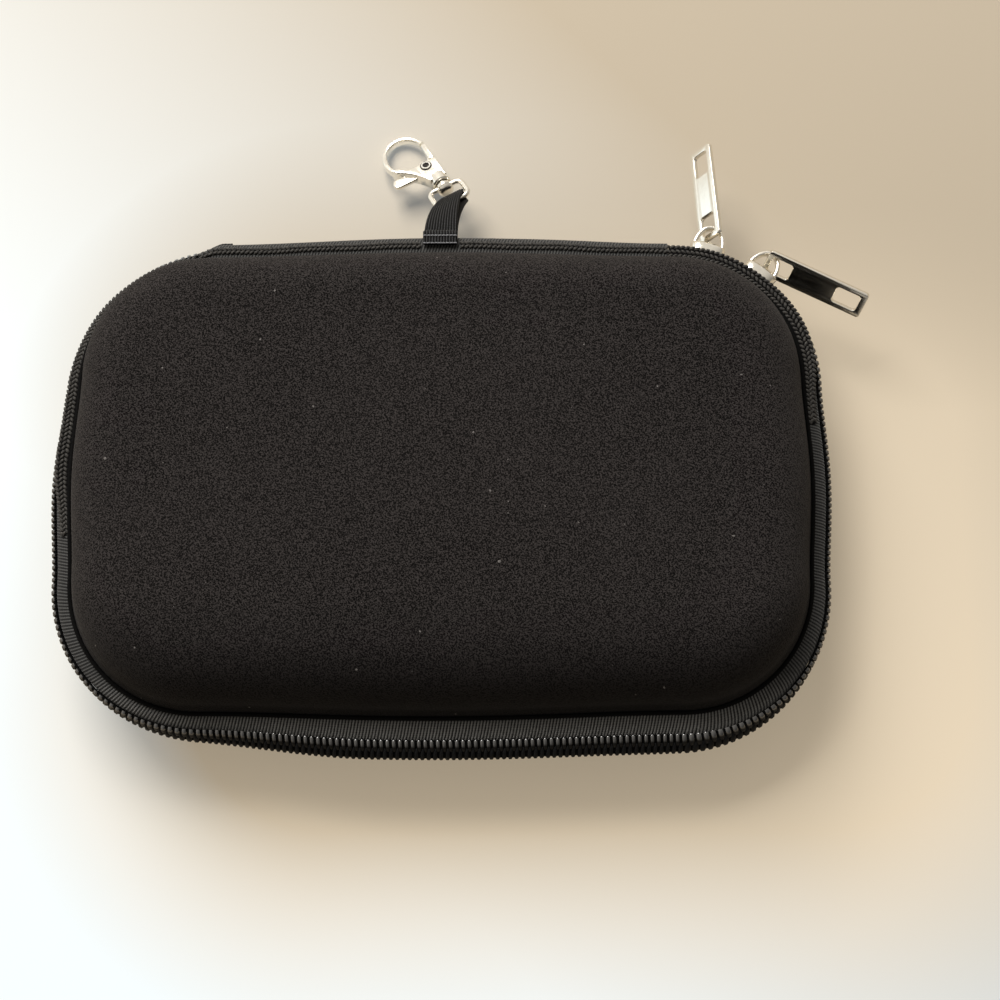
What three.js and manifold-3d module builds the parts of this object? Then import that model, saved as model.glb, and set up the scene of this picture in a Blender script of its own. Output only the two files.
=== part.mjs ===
// Hard zip case: two moulded foam shells, a coil zip round three sides, a fabric hinge strip
// at the back, two metal sliders with windowed pulls, and a swivel clasp on a webbing loop.
// Millimetres, +Z up, +Y to the hinge. The origin is the middle of the flat underside.
import * as THREE from 'three';
import { mergeVertices } from 'three/addons/utils/BufferGeometryUtils.js';
import Module from 'manifold-3d';

const wasm = await Module();
wasm.setup();

const { sin, cos, PI, abs, min, max, hypot, floor } = Math;
const degrees = PI / 180;

// Driving dimensions of the two shells
const shellWidth = 169;
const shellDepth = 108;
const cornerRadius = 30;
const sideBow = 1.2;
const baseHeight = 21;
const lidHeight = 21;
const lidCrown = 0.8;
const edgeRadius = 13;
const wallDraft = 1;
const foamThickness = 3;
const liningThickness = 0.6;
const fitClearance = 0.3;
const crownRingCorner = 2;

// Driving dimensions of the zip
const zipSideReach = 3.4;
const zipFrontReach = 6.2;
const backTuck = { place: 92, half: 37, depth: 1.2 };
const frontTuck = { place: 187, half: 42, depth: 3.6 };
const zipFrontLean = 45 * degrees;
const frontSharpness = 1.5;
const tapeThickness = 0.8;
const tapeEdge = 0.5;
const tapeChainWidth = 3.1;
const tapeSewnDepth = 2.6;
const tapeFlangeRise = 3.6;
const toothPitch = 1.42;
const toothWidth = 2.8;
const toothThickness = 1.5;
const toothReach = 0.3;
const toothDepth = 1.3;
const toothSeatGap = 0.35;
const toothRound = 0.3;
const valleyShare = 0.6;
const partedGap = 0.95;
const partingRamp = 20 * degrees;
const stripCornerGap = 0.5;
const stripReach = 6.2;
const bindingWidth = 3.6;
const bindingThickness = 2;
const bindingInset = 1;
const tapeEndLength = 7;

// Driving dimensions of the sliders and pulls
const sliderAngleA = 15 * degrees;
const sliderAngleB = 37 * degrees;
const sliderLength = 8.6;
const sliderWidth = 7.8;
const sliderTailWidth = 7.2;
const sliderPlate = 1.2;
const sliderBackPlate = 1;
const sliderBackWidth = 5;
const sliderBackTailWidth = 4;
const sliderMouthRound = 2;
const sliderTailRound = 1.5;
const sliderWeb = 0.44;
const sliderWebLength = 3.2;
const bridgeHeight = 5.2;
const bridgeLength = 7.8;
const bridgeStrip = 1.1;
const bridgeWidth = 1.3;
const pullBarRise = 2.6;
const pullLength = 26;
const pullWidth = 7;
const pullThickness = 1.2;
const pullArm = 1.3;
const pullEyeLength = 5.4;
const pullWindowLength = 6.3;
const pullWindowEnd = 1.5;
const pullCorner = 0.8;
const pullRollA = -52 * degrees;
const pullYawA = 18 * degrees;
const pullDroopA = 10 * degrees;
const pullRollB = 55 * degrees;
const pullYawB = -78 * degrees;
const pullDroopB = 4 * degrees;

// Driving dimensions of the webbing loop, the ring and the clasp
const webbingWidth = 8.2;
const webbingFoldWidth = 6.8;
const webbingThickness = 0.9;
const webbingSeamX = -0.6;
const webbingSeamSpread = 1.1;
const claspHeight = 8.6;
const claspX = -0.6;
const claspStandOff = 20;
const claspYaw = 28 * degrees;
const claspDroop = 21 * degrees;
const ringWidth = 10.2;
const ringDepth = 7;
const ringWire = 1.4;
const ringLug = 3.4;
const ringCorner = 1.5;
const pinDiameter = 2;
const pinHead = 4.2;
const pinHeadHeight = 1;
const collarDiameter = 4.8;
const collarLength = 3;
const collarEndWall = 0.4;
const slotWall = 0.1;
const hookThickness = 3.6;
const hookWire = 2.2;
const eyeX = 13;
const eyeY = 3.8;
const eyeLength = 9.4;
const eyeWidth = 9.4;
const hookBand = 1.2;
const rivetX = 6.5;
const rivetY = 1.2;
const rivetDiameter = 1.8;
const rivetHead = 2.6;
const rivetHeadHeight = 0.35;
const triggerThickness = 1.2;
const triggerSlot = 1.8;
const triggerHub = 3.6;
const gateWidth = 1.5;
const gateGap = 0.6;
const gateCorner = 0.4;
const heelStep = 0.3;
const thumbLength = 6.6;
const thumbWidth = 2.8;
const springLeaf = 0.25;
const springWidth = 1.2;
const springLength = 4.4;

// Driving dimensions of the inside
const netThickness = 0.8;
const netDrop = 2;
const netFront = 74;
const netHemWidth = 5;
const netHemThickness = 1.4;
const strapWidth = 24;
const strapSpan = 70;
const strapRise = 11;
const strapThickness = 1;
const strapX = 30;

// Steps and facets of the curved features
const longSteps = 6;
const longestZipStep = 12;
const shortSteps = 3;
const shellCornerSteps = 6;
const liningCornerSteps = 3;
const shellEdgeSteps = 4;
const liningEdgeSteps = 2;
const eyeFacets = 20;
const hubFacets = 16;
const boreFacets = 12;
const bendFacets = 6;
const smallFacets = 3;
const wireSides = 6;
const springSteps = 8;
const strapSteps = 14;
const weldDistance = 1e-4;

// Values that follow from them
const halfWidth = shellWidth / 2;
const halfDepth = shellDepth / 2;
const longStraight = shellWidth - 2 * cornerRadius;
const shortStraight = shellDepth - 2 * cornerRadius;
const arcLength = PI * cornerRadius / 2;
const perimeter = 2 * (longStraight + shortStraight) + 4 * arcLength;
const parting = baseHeight;
const rimRise = tapeFlangeRise + tapeThickness / 2 + fitClearance;
const liningInset = foamThickness + fitClearance;
const coilFoot = tapeThickness / 2 + toothSeatGap;
const hingeStripLength = longStraight - 2 * stripCornerGap;
const zipStart = hingeStripLength / 2 + fitClearance;
const zipEnd = perimeter - zipStart;

// Finishes
const foamFabric = new THREE.MeshStandardMaterial({ color: 0x1d1b1b, roughness: 0.95, metalness: 0 });
const liningFabric = new THREE.MeshStandardMaterial({ color: 0x232325, roughness: 0.9, metalness: 0 });
const tapeFabric = new THREE.MeshStandardMaterial({ color: 0x1f1f1f, roughness: 0.9, metalness: 0 });
const nylon = new THREE.MeshStandardMaterial({ color: 0x0f0f10, roughness: 0.35, metalness: 0 });
const nickel = new THREE.MeshStandardMaterial({ color: 0xd9d6cc, roughness: 0.2, metalness: 1 });
const steel = new THREE.MeshStandardMaterial({ color: 0xa8a8a4, roughness: 0.35, metalness: 1 });
const webbingFabric = new THREE.MeshStandardMaterial({ color: 0x151515, roughness: 0.85, metalness: 0 });

const model = new THREE.Group();
model.name = 'zip_case';

function addPiece(name, geometry, material, parent = model) {
  const mesh = new THREE.Mesh(geometry, material);
  mesh.name = name;
  parent.add(mesh);
  return mesh;
}

// Solid geometry from rows of points: every row is a closed ring, neighbouring rows are joined,
// and the two end rows are closed by a strip across the ring, or joined to each other.
function skin(rows, endless = false) {
  const width = rows[0].length;
  const triangles = [];
  const index = (row, column) => (row % rows.length) * width + (column % width);
  const lastRow = endless ? rows.length : rows.length - 1;
  for (let row = 0; row < lastRow; row++) {
    for (let column = 0; column < width; column++) {
      const a = index(row, column);
      const b = index(row, column + 1);
      const c = index(row + 1, column + 1);
      const d = index(row + 1, column);
      triangles.push([a, b, c], [a, c, d]);
    }
  }
  if (!endless) {
    capRow(triangles, width, 0, true);
    capRow(triangles, width, (rows.length - 1) * width, false);
  }
  return orientedGeometry(rows.flat(), triangles);
}

function capRow(triangles, width, first, reversed) {
  const add = (...corners) => {
    const triangle = corners.map((corner) => first + corner);
    triangles.push(reversed ? triangle.reverse() : triangle);
  };
  for (let near = 0, far = width - 1; near < far; near++, far--) {
    if (near + 1 < far) {
      add(near, near + 1, far);
    }
    if (near + 1 < far - 1) {
      add(near + 1, far - 1, far);
    }
  }
}

function orientedGeometry(points, triangles) {
  const volume = triangles.reduce((sum, [a, b, c]) => sum + new THREE.Vector3(...points[a])
    .dot(new THREE.Vector3(...points[b]).cross(new THREE.Vector3(...points[c]))), 0);
  const order = volume > 0 ? triangles : triangles.map(([a, b, c]) => [a, c, b]);
  const geometry = new THREE.BufferGeometry();
  geometry.setAttribute('position', new THREE.Float32BufferAttribute(points.flat(), 3));
  geometry.setIndex(order.flat());
  return geometry;
}

// Boolean solids
function solid(geometry) {
  const bare = geometry.clone();
  bare.deleteAttribute('normal');
  bare.deleteAttribute('uv');
  const merged = mergeVertices(bare, weldDistance);
  return new wasm.Manifold(new wasm.Mesh({
    numProp: 3,
    vertProperties: new Float32Array(merged.attributes.position.array),
    triVerts: new Uint32Array(merged.index.array),
  }));
}

function geometryOf(body) {
  const mesh = body.getMesh();
  const geometry = new THREE.BufferGeometry();
  geometry.setAttribute('position', new THREE.BufferAttribute(new Float32Array(mesh.vertProperties), 3));
  geometry.setIndex(Array.from(mesh.triVerts));
  return geometry;
}

// A flat outline given thickness, centred on its own plane
function plate(shape, thickness, curveSegments = smallFacets) {
  const geometry = new THREE.ExtrudeGeometry(shape, { depth: thickness, bevelEnabled: false, curveSegments });
  return geometry.translate(0, 0, -thickness / 2);
}

function roundedRectangle(x0, y0, x1, y1, radius, Kind = THREE.Shape) {
  const shape = new Kind();
  shape.moveTo(x0 + radius, y0);
  shape.absarc(x1 - radius, y0 + radius, radius, -PI / 2, 0);
  shape.absarc(x1 - radius, y1 - radius, radius, 0, PI / 2);
  shape.absarc(x0 + radius, y1 - radius, radius, PI / 2, PI);
  shape.absarc(x0 + radius, y0 + radius, radius, PI, 1.5 * PI);
  return shape;
}

// Point on the shells' wall line at a distance along it, counted from the middle of the back
// and counterclockwise from above: straight sides that swell a little, joined by round corners.
function wallPoint(distance) {
  let left = (((distance + longStraight / 2) % perimeter) + perimeter) % perimeter;
  for (let side = 0; side < 4; side++) {
    const angle = (side + 1) * PI / 2;
    const length = side % 2 ? shortStraight : longStraight;
    const reach = side % 2 ? halfWidth : halfDepth;
    if (left <= length) {
      const u = 2 * left / length - 1;
      const out = reach + sideBow * (1 - u * u) ** 2;
      const along = left - length / 2;
      return { x: out * cos(angle) - along * sin(angle), y: out * sin(angle) + along * cos(angle), angle };
    }
    left -= length;
    if (left < arcLength) {
      const turn = angle + left / cornerRadius;
      const out = reach - cornerRadius;
      return {
        x: out * cos(angle) - length / 2 * sin(angle) + cornerRadius * cos(turn),
        y: out * sin(angle) + length / 2 * cos(angle) + cornerRadius * sin(turn),
        angle: turn,
      };
    }
    left -= arcLength;
  }
  return wallPoint(0);
}

function offsetPoint(distance, offset, z) {
  const wall = wallPoint(distance);
  return [wall.x + offset * cos(wall.angle), wall.y + offset * sin(wall.angle), z];
}

// Distances along the wall line at which rings and sections are set
function outlineStations(cornerSteps) {
  const stations = [];
  let start = -longStraight / 2;
  for (let side = 0; side < 4; side++) {
    const length = side % 2 ? shortStraight : longStraight;
    const steps = side % 2 ? shortSteps : longSteps;
    for (let step = 0; step < steps; step++) {
      stations.push(start + length * step / steps);
    }
    start += length;
    for (let step = 0; step < cornerSteps; step++) {
      stations.push(start + arcLength * step / cornerSteps);
    }
    start += arcLength;
  }
  return stations;
}

const shellStations = outlineStations(shellCornerSteps);
const liningStations = outlineStations(liningCornerSteps);
const betweenZipEnds = shellStations.map((s) => (s + perimeter) % perimeter)
  .filter((s) => s > zipStart + toothPitch && s < zipEnd - toothPitch).sort((a, b) => a - b);
const zipPlaces = [zipStart, ...betweenZipEnds, zipEnd];
const zipStations = zipPlaces.flatMap((s, i) => {
  const step = i ? s - zipPlaces[i - 1] : 0;
  return step > longestZipStep ? [s - step / 2, s] : [s];
});

// Bowl between two skins: a wall with draft, a round edge and a flat or slightly crowned floor.
// The side is 1 for the lid, which opens downwards, and -1 for the base.
function bowl(side, height, crown, layer) {
  const { inset, thickness, places, edgeSteps } = layer;
  const ring = (away, rise) => places.map((s) => offsetPoint(s, -away, parting + side * rise));
  const skinRings = (depth) => {
    const radius = edgeRadius - depth;
    const shoulder = height - edgeRadius;
    const rings = [ring(depth, rimRise)];
    for (let step = 0; step <= edgeSteps; step++) {
      const turn = step / edgeSteps * PI / 2;
      const away = depth + wallDraft + radius * (1 - cos(turn));
      rings.push(ring(away, shoulder + radius * sin(turn)));
    }
    rings.push(ring(cornerRadius - crownRingCorner, height - depth + crown));
    return rings;
  };
  return skin([...skinRings(inset).reverse(), ...skinRings(inset + thickness)]);
}

function buildShells() {
  const foam = { inset: 0, thickness: foamThickness, places: shellStations, edgeSteps: shellEdgeSteps };
  const lining = {
    inset: liningInset, thickness: liningThickness, places: liningStations, edgeSteps: liningEdgeSteps,
  };
  addPiece('base_shell', bowl(-1, baseHeight, 0, foam), foamFabric);
  addPiece('lid_shell', bowl(1, lidHeight, lidCrown, foam), foamFabric);
  addPiece('base_lining', bowl(-1, baseHeight, 0, lining), liningFabric);
  addPiece('lid_lining', bowl(1, lidHeight, lidCrown, lining), liningFabric);
}

// Ribbon sewn over the raw inner edges, lying under the tape's sewn flange
function binding(side) {
  const outer = -bindingInset;
  const inner = outer - bindingWidth;
  const top = tapeFlangeRise - tapeThickness / 2 - fitClearance;
  const low = top - bindingThickness;
  const middle = (top + low) / 2;
  const rows = shellStations.map((s) => [
    offsetPoint(s, outer, parting + side * top),
    offsetPoint(s, outer, parting + side * low),
    offsetPoint(s, inner, parting + side * middle),
    offsetPoint(s, inner, parting + side * top),
  ]);
  return skin(rows, true);
}

// The zip leans outwards along the front, where its lower row stands further out than the upper,
// and is tucked in towards the lid at the two left corners.
function zipFrame(distance) {
  const wall = wallPoint(distance);
  const facing = max(0, -sin(wall.angle)) ** frontSharpness;
  const front = facing * facing * (3 - 2 * facing);
  const tucked = ({ place, half, depth }) => depth * (1 - min(1, abs(distance - place) / half) ** 2) ** 2;
  const lean = zipFrontLean * front;
  const reach = zipSideReach + (zipFrontReach - zipSideReach) * front - tucked(backTuck) - tucked(frontTuck);
  return { lean, reach };
}

// Point of the zip at a place along it: across is measured up from the parting line in the
// plane of the tape, and out is measured square to that plane.
function zipOffset(distance, across, out) {
  const { lean, reach } = zipFrame(distance);
  return [reach - across * sin(lean) + out * cos(lean), across * cos(lean) + out * sin(lean)];
}

function ribbonSection(points, thickness) {
  const normals = points.map((point, i) => {
    const before = points[max(0, i - 1)];
    const after = points[i + 1 < points.length ? i + 1 : i];
    const run = [after[0] - before[0], after[1] - before[1]];
    const length = hypot(...run);
    return [-run[1] / length, run[0] / length];
  });
  const shifted = (amount) => points.map((point, i) => [
    point[0] + normals[i][0] * amount,
    point[1] + normals[i][1] * amount,
  ]);
  return [...shifted(thickness / 2), ...shifted(-thickness / 2).reverse()];
}

function zipTape(side) {
  const rows = zipStations.map((s) => {
    const spine = [
      zipOffset(s, side * tapeEdge, 0),
      zipOffset(s, side * tapeChainWidth, 0),
      [fitClearance, side * tapeFlangeRise],
      [-tapeSewnDepth, side * tapeFlangeRise],
    ];
    const section = ribbonSection(spine, tapeThickness);
    return section.map(([offset, rise]) => offsetPoint(s, offset, parting + rise));
  });
  return skin(rows);
}

// How far the two rows of teeth are spread at a place along the zip: the sliders part them
function rowSpread(distance) {
  const cornerStart = perimeter - longStraight / 2 - arcLength;
  const ramp = cornerRadius * partingRamp;
  const t = min(1, max(0, (distance - cornerStart + ramp) / ramp));
  return partedGap * t * t * (3 - 2 * t);
}

// One row of the coil: a crest and a valley for every tooth. The heads of one row reach past
// the parting line into the valleys of the other, which is half a pitch further on.
function coilRow(side) {
  const teeth = floor((zipEnd - zipStart) / toothPitch) - 1;
  const first = zipStart + toothPitch * (side > 0 ? 0.5 : 1);
  const rows = [];
  for (let half = 0; half < 2 * teeth; half++) {
    const s = first + half * toothPitch / 2;
    const crest = half % 2 === 0;
    const head = rowSpread(s) - toothReach + (crest ? 0 : toothDepth);
    const thickness = crest ? toothThickness : valleyShare * toothThickness;
    const section = [
      [head, coilFoot + thickness / 2],
      [max(head + toothRound, toothWidth / 2), coilFoot + thickness],
      [toothWidth, coilFoot],
    ];
    rows.push(section.map(([across, out]) => {
      const [offset, rise] = zipOffset(s, side * across, out);
      return offsetPoint(s, offset, parting + rise);
    }));
  }
  return skin(rows);
}

// Woven strip that joins the two rims along the back and bends as the lid opens
function hingeStrip() {
  const spine = [-1, 1].flatMap((side) => {
    const half = [
      [-tapeSewnDepth, side * tapeFlangeRise],
      [fitClearance, side * tapeFlangeRise],
      [stripReach, side * tapeChainWidth],
    ];
    return side < 0 ? half : half.reverse();
  });
  const section = ribbonSection(spine, tapeThickness);
  const rows = [];
  for (let step = 0; step <= longSteps; step++) {
    const s = hingeStripLength * (step / longSteps - 0.5);
    rows.push(section.map(([offset, rise]) => offsetPoint(s, offset, parting + rise)));
  }
  return skin(rows);
}

// Folded end of the zip tape, sewn flat over the joint between the zip and the hinge strip
function tapeEnd(centre) {
  const face = stripReach + tapeThickness / 2 + fitClearance;
  const rows = [-1, 1].map((end) => {
    const s = centre + end * tapeEndLength / 2;
    const low = -tapeChainWidth;
    const high = -tapeEdge;
    return [[face, high], [face + tapeThickness, high], [face + tapeThickness, low], [face, low]]
      .map(([offset, rise]) => offsetPoint(s, offset, parting + rise));
  });
  return skin(rows);
}

function buildZip() {
  addPiece('base_binding', binding(-1), tapeFabric);
  addPiece('lid_binding', binding(1), tapeFabric);
  addPiece('zip_tape_lower', zipTape(-1), tapeFabric);
  addPiece('zip_tape_upper', zipTape(1), tapeFabric);
  addPiece('zip_coil_lower', coilRow(-1), nylon);
  addPiece('zip_coil_upper', coilRow(1), nylon);
  addPiece('hinge_strip', hingeStrip(), tapeFabric);
  const endPlace = hingeStripLength / 2 - tapeEndLength / 2;
  addPiece('tape_end_left', tapeEnd(endPlace), tapeFabric);
  addPiece('tape_end_right', tapeEnd(-endPlace), tapeFabric);
}

// Sliders, in a frame at the centre of the back right corner: +X outwards, +Y towards the strip
const tapeFace = cornerRadius + zipSideReach + tapeThickness / 2;
const plateInner = cornerRadius + zipSideReach + coilFoot + toothThickness + fitClearance;
const plateOuter = plateInner + sliderPlate;
const backOuter = tapeFace - tapeThickness - 2 * fitClearance;
const backInner = backOuter - sliderBackPlate;
const cornerCentre = new THREE.Vector3(longStraight / 2, shortStraight / 2, parting);

function sector(inner, outer, length, height) {
  const half = length / 2 / outer;
  const shape = new THREE.Shape();
  shape.absarc(0, 0, outer, -half, half, false);
  shape.absarc(0, 0, inner, half, -half, true);
  return plate(shape, height);
}

// Prism with a shield outline: wide at the mouth, narrower at the tail, round at both ends
function shieldPrism(width, tailWidth) {
  const half = sliderLength / 2;
  const shape = new THREE.Shape();
  const tail = -half + sliderTailRound;
  const mouth = half - sliderMouthRound;
  shape.moveTo(-half, -tailWidth / 2 + sliderTailRound);
  shape.quadraticCurveTo(-half, -tailWidth / 2, tail, -tailWidth / 2);
  shape.lineTo(mouth, -width / 2);
  shape.quadraticCurveTo(half, -width / 2, half, -width / 4);
  shape.lineTo(half, width / 4);
  shape.quadraticCurveTo(half, width / 2, mouth, width / 2);
  shape.lineTo(tail, tailWidth / 2);
  shape.quadraticCurveTo(-half, tailWidth / 2, -half, tailWidth / 2 - sliderTailRound);
  const along = new THREE.Vector3(0, 1, 0);
  const up = new THREE.Vector3(0, 0, 1);
  const out = new THREE.Vector3(1, 0, 0);
  const turned = plate(shape, cornerRadius).applyMatrix4(new THREE.Matrix4().makeBasis(along, up, out));
  return solid(turned.translate(tapeFace, 0, 0));
}

function bridge() {
  const foot = plateOuter - sliderPlate / 3;
  const rise = bridgeHeight + sliderPlate / 3;
  const half = bridgeLength / 2;
  const shape = new THREE.Shape();
  shape.moveTo(foot, -half);
  shape.absellipse(foot, 0, rise, half, -PI / 2, PI / 2, false);
  shape.lineTo(foot, half - bridgeStrip);
  shape.absellipse(foot, 0, rise - bridgeStrip, half - bridgeStrip, PI / 2, -PI / 2, true);
  return solid(plate(shape, bridgeWidth, bendFacets));
}

function sliderBody() {
  const flangeLow = toothWidth + fitClearance;
  const flangeHeight = sliderWidth / 2 - flangeLow;
  const flange = (side) => solid(sector(tapeFace + fitClearance, plateOuter, sliderLength, flangeHeight)
    .translate(0, 0, side * (flangeLow + flangeHeight / 2)));
  const front = solid(sector(plateInner, plateOuter, sliderLength, sliderWidth))
    .add(flange(1))
    .add(flange(-1))
    .intersect(shieldPrism(sliderWidth, sliderTailWidth));
  const back = solid(sector(backInner, backOuter, sliderLength, sliderBackWidth))
    .intersect(shieldPrism(sliderBackWidth, sliderBackTailWidth));
  const webInner = backInner + sliderBackPlate / 2;
  const webOuter = plateInner + sliderPlate / 2;
  const web = solid(sector(webInner, webOuter, sliderWebLength, sliderWeb));
  return geometryOf(front.add(back).add(web).add(bridge()));
}

function pullTab() {
  const near = -pullArm / 2;
  const far = near + pullLength;
  const half = pullWidth / 2;
  const shape = roundedRectangle(near, -half, far, half, pullCorner);
  const inside = half - pullArm;
  const eyeStart = pullArm / 2;
  const windowStart = far - pullWindowEnd - pullWindowLength;
  shape.holes.push(
    roundedRectangle(eyeStart, -inside, eyeStart + pullEyeLength, inside, pullCorner, THREE.Path),
    roundedRectangle(windowStart, -inside, windowStart + pullWindowLength, inside, pullCorner, THREE.Path),
  );
  return plate(shape, pullThickness);
}

function buildSlider(letter, angle, roll, droop, yaw) {
  const carrier = new THREE.Group();
  carrier.position.copy(cornerCentre);
  carrier.rotation.z = PI / 2 - angle;
  model.add(carrier);
  addPiece(`slider_${letter}`, sliderBody(), nickel, carrier);
  const pull = addPiece(`pull_tab_${letter}`, pullTab(), nickel, carrier);
  pull.position.x = plateOuter + pullBarRise;
  pull.rotation.set(roll, droop, yaw, 'ZYX');
}

// Clasp, in a frame at the end of the hook's collar: +X to the hook's head, +Y to its thumb lever
const stripFace = halfDepth + sideBow + stripReach + tapeThickness / 2;
const clasp = new THREE.Group();
clasp.position.set(claspX, stripFace + claspStandOff, claspHeight);
clasp.rotation.set(0, claspDroop, PI / 2 + claspYaw, 'ZYX');
clasp.updateMatrix();
const lugOuter = -fitClearance;
const lugMiddle = lugOuter - ringWire / 2;
const ringFar = lugMiddle - (ringDepth - ringWire);

const pinBore = pinDiameter / 2 + fitClearance;
const rivetBore = rivetDiameter / 2 + fitClearance;

// Cylinders about the clasp's long axis and about the rivet
function roundBar(radius, length, facets = boreFacets) {
  return new THREE.CylinderGeometry(radius, radius, length, facets).rotateZ(-PI / 2);
}

function rivetBar(radius, length, facets = boreFacets) {
  const bar = new THREE.CylinderGeometry(radius, radius, length, facets).rotateX(PI / 2);
  return bar.translate(rivetX, rivetY, 0);
}

function box(x0, x1, y0, y1, height) {
  return solid(new THREE.BoxGeometry(x1 - x0, y1 - y0, height).translate((x0 + x1) / 2, (y0 + y1) / 2, 0));
}

// Wire bent to a rounded rectangle, with a bored lug in the side next to the hook
function dRing() {
  const half = ringWidth / 2 - ringWire / 2;
  const path = roundedRectangle(ringFar, -half, lugMiddle, half, ringCorner).getPoints(smallFacets);
  const loop = path.slice(0, -1).filter((p, i) => i === 0 || p.distanceTo(path[i - 1]) > weldDistance);
  const rows = loop.map((p, i) => {
    const before = loop[(i + loop.length - 1) % loop.length];
    const after = loop[(i + 1) % loop.length];
    const run = after.clone().sub(before).normalize();
    return Array.from({ length: wireSides }, (_, k) => {
      const turn = 2 * PI * (k + 0.5) / wireSides;
      const out = ringWire / 2 * cos(turn);
      return [p.x + run.y * out, p.y - run.x * out, ringWire / 2 * sin(turn)];
    });
  });
  const lug = roundBar(ringLug / 2, ringWire).translate(lugMiddle, 0, 0);
  const bore = roundBar(pinBore, 2 * ringWire).translate(lugMiddle, 0, 0);
  return geometryOf(solid(skin(rows, true)).add(solid(lug)).subtract(solid(bore)));
}

// Headed pin fixed in the hook's collar, on which the hook turns in the ring's lug
const boreDepth = collarLength - collarEndWall;

function swivelPin() {
  const headFace = lugMiddle - ringWire / 2 - fitClearance;
  const tip = boreDepth - fitClearance;
  const profile = [
    [0, headFace - pinHeadHeight],
    [pinHead / 3, headFace - pinHeadHeight],
    [pinHead / 2, headFace - pinHeadHeight / 3],
    [pinHead / 2, headFace],
    [pinDiameter / 2, headFace],
    [pinDiameter / 2, tip],
    [0, tip],
  ].map(([radius, height]) => new THREE.Vector2(radius, height));
  return new THREE.LatheGeometry(profile, boreFacets).rotateZ(-PI / 2);
}

function ellipse(extra, Kind = THREE.Shape) {
  const shape = new Kind();
  shape.absellipse(eyeX, eyeY, eyeLength / 2 + extra, eyeWidth / 2 + extra, 0, 2 * PI, false);
  return shape;
}

const slotStart = collarLength + slotWall;
const slotEnd = rivetX + triggerHub / 2 + fitClearance;
const gateRoot = slotEnd + fitClearance;
const tipStart = eyeX + eyeLength / 4;
const gateLine = eyeY - eyeWidth / 2 - hookBand / 2;

function hookBody() {
  const cheek = new THREE.Shape();
  const right = gateLine - gateWidth / 2;
  const collarRadius = collarDiameter / 2;
  cheek.moveTo(collarLength / 2, fitClearance - collarRadius);
  cheek.lineTo(slotEnd, right);
  cheek.lineTo(eyeX - eyeLength / 3, eyeY);
  cheek.lineTo(eyeX - eyeLength / 3, eyeY + eyeWidth / 2 + hookBand / 3);
  cheek.quadraticCurveTo(rivetX, rivetY + triggerHub, collarLength / 2, collarRadius);
  const band = plate(ellipse(hookBand), hookWire, eyeFacets);
  const eye = plate(ellipse(0), 2 * hookThickness, eyeFacets);
  const collar = roundBar(collarRadius, collarLength, hubFacets).translate(collarLength / 2, 0, 0);
  const reach = eyeWidth + hookThickness;
  const body = solid(band)
    .add(solid(plate(cheek, hookThickness, bendFacets)))
    .subtract(solid(eye))
    .add(solid(collar))
    .subtract(solid(roundBar(pinBore, 2 * boreDepth)))
    .subtract(box(slotStart, gateRoot + fitClearance, -reach, reach, triggerSlot))
    .subtract(box(slotEnd - fitClearance, tipStart, -reach, rivetY, 2 * hookThickness))
    .subtract(solid(rivetBar(rivetBore, 2 * hookThickness)));
  return geometryOf(body);
}

// One lever: the gate that closes the eye, the hub on the rivet and the thumb tab
function hookTrigger() {
  const right = gateLine - gateWidth / 2;
  const left = gateLine + gateWidth / 2;
  const gate = roundedRectangle(gateRoot, right, tipStart - gateGap, left, gateCorner);
  const heel = new THREE.Shape();
  heel.moveTo(rivetX - triggerHub / 3, rivetY - triggerHub / 3);
  heel.lineTo(rivetX, right + heelStep);
  heel.lineTo(gateRoot + gateWidth, right + heelStep);
  heel.lineTo(gateRoot + gateWidth, left);
  heel.lineTo(rivetX + triggerHub / 3, rivetY);
  const thumb = roundedRectangle(rivetX - thumbWidth / 2, rivetY + triggerHub / 4,
    rivetX + thumbWidth / 2, rivetY + thumbLength, thumbWidth / 3);
  const body = solid(rivetBar(triggerHub / 2, triggerThickness, hubFacets))
    .add(solid(plate(gate, hookWire)))
    .add(solid(plate(heel, triggerThickness)))
    .add(solid(plate(thumb, triggerThickness)))
    .subtract(solid(rivetBar(rivetBore, 2 * triggerThickness)));
  return geometryOf(body);
}

function triggerRivet() {
  const under = hookThickness / 2 + fitClearance / 2;
  const top = under + rivetHeadHeight;
  const profile = [
    [0, -top], [rivetHead / 2, -top], [rivetHead / 2, -under], [rivetDiameter / 2, -under],
    [rivetDiameter / 2, under], [rivetHead / 2, under], [rivetHead / 2, top], [0, top],
  ].map(([radius, height]) => new THREE.Vector2(radius, height));
  return new THREE.LatheGeometry(profile, boreFacets).rotateX(PI / 2).translate(rivetX, rivetY, 0);
}

// Leaf spring bowed between the end of the slot and the trigger's hub
function triggerSpring() {
  const start = slotStart + fitClearance;
  const crest = rivetX - triggerHub / 2 - fitClearance - springLeaf / 2;
  const spine = Array.from({ length: springSteps + 1 }, (_, i) => {
    const u = 2 * i / springSteps - 1;
    return [start + (crest - start) * cos(u * PI / 2) ** 2, rivetY + u * springLength / 2];
  });
  const section = ribbonSection(spine, springLeaf);
  return skin([-1, 1].map((end) => section.map(([x, y]) => [x, y, end * springWidth / 2])));
}

function buildClasp() {
  model.add(clasp);
  addPiece('d_ring', dRing(), nickel, clasp);
  addPiece('swivel_pin', swivelPin(), nickel, clasp);
  addPiece('hook_body', hookBody(), nickel, clasp);
  addPiece('hook_trigger', hookTrigger(), nickel, clasp);
  addPiece('trigger_rivet', triggerRivet(), steel, clasp);
  addPiece('trigger_spring', triggerSpring(), steel, clasp);
}

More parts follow.
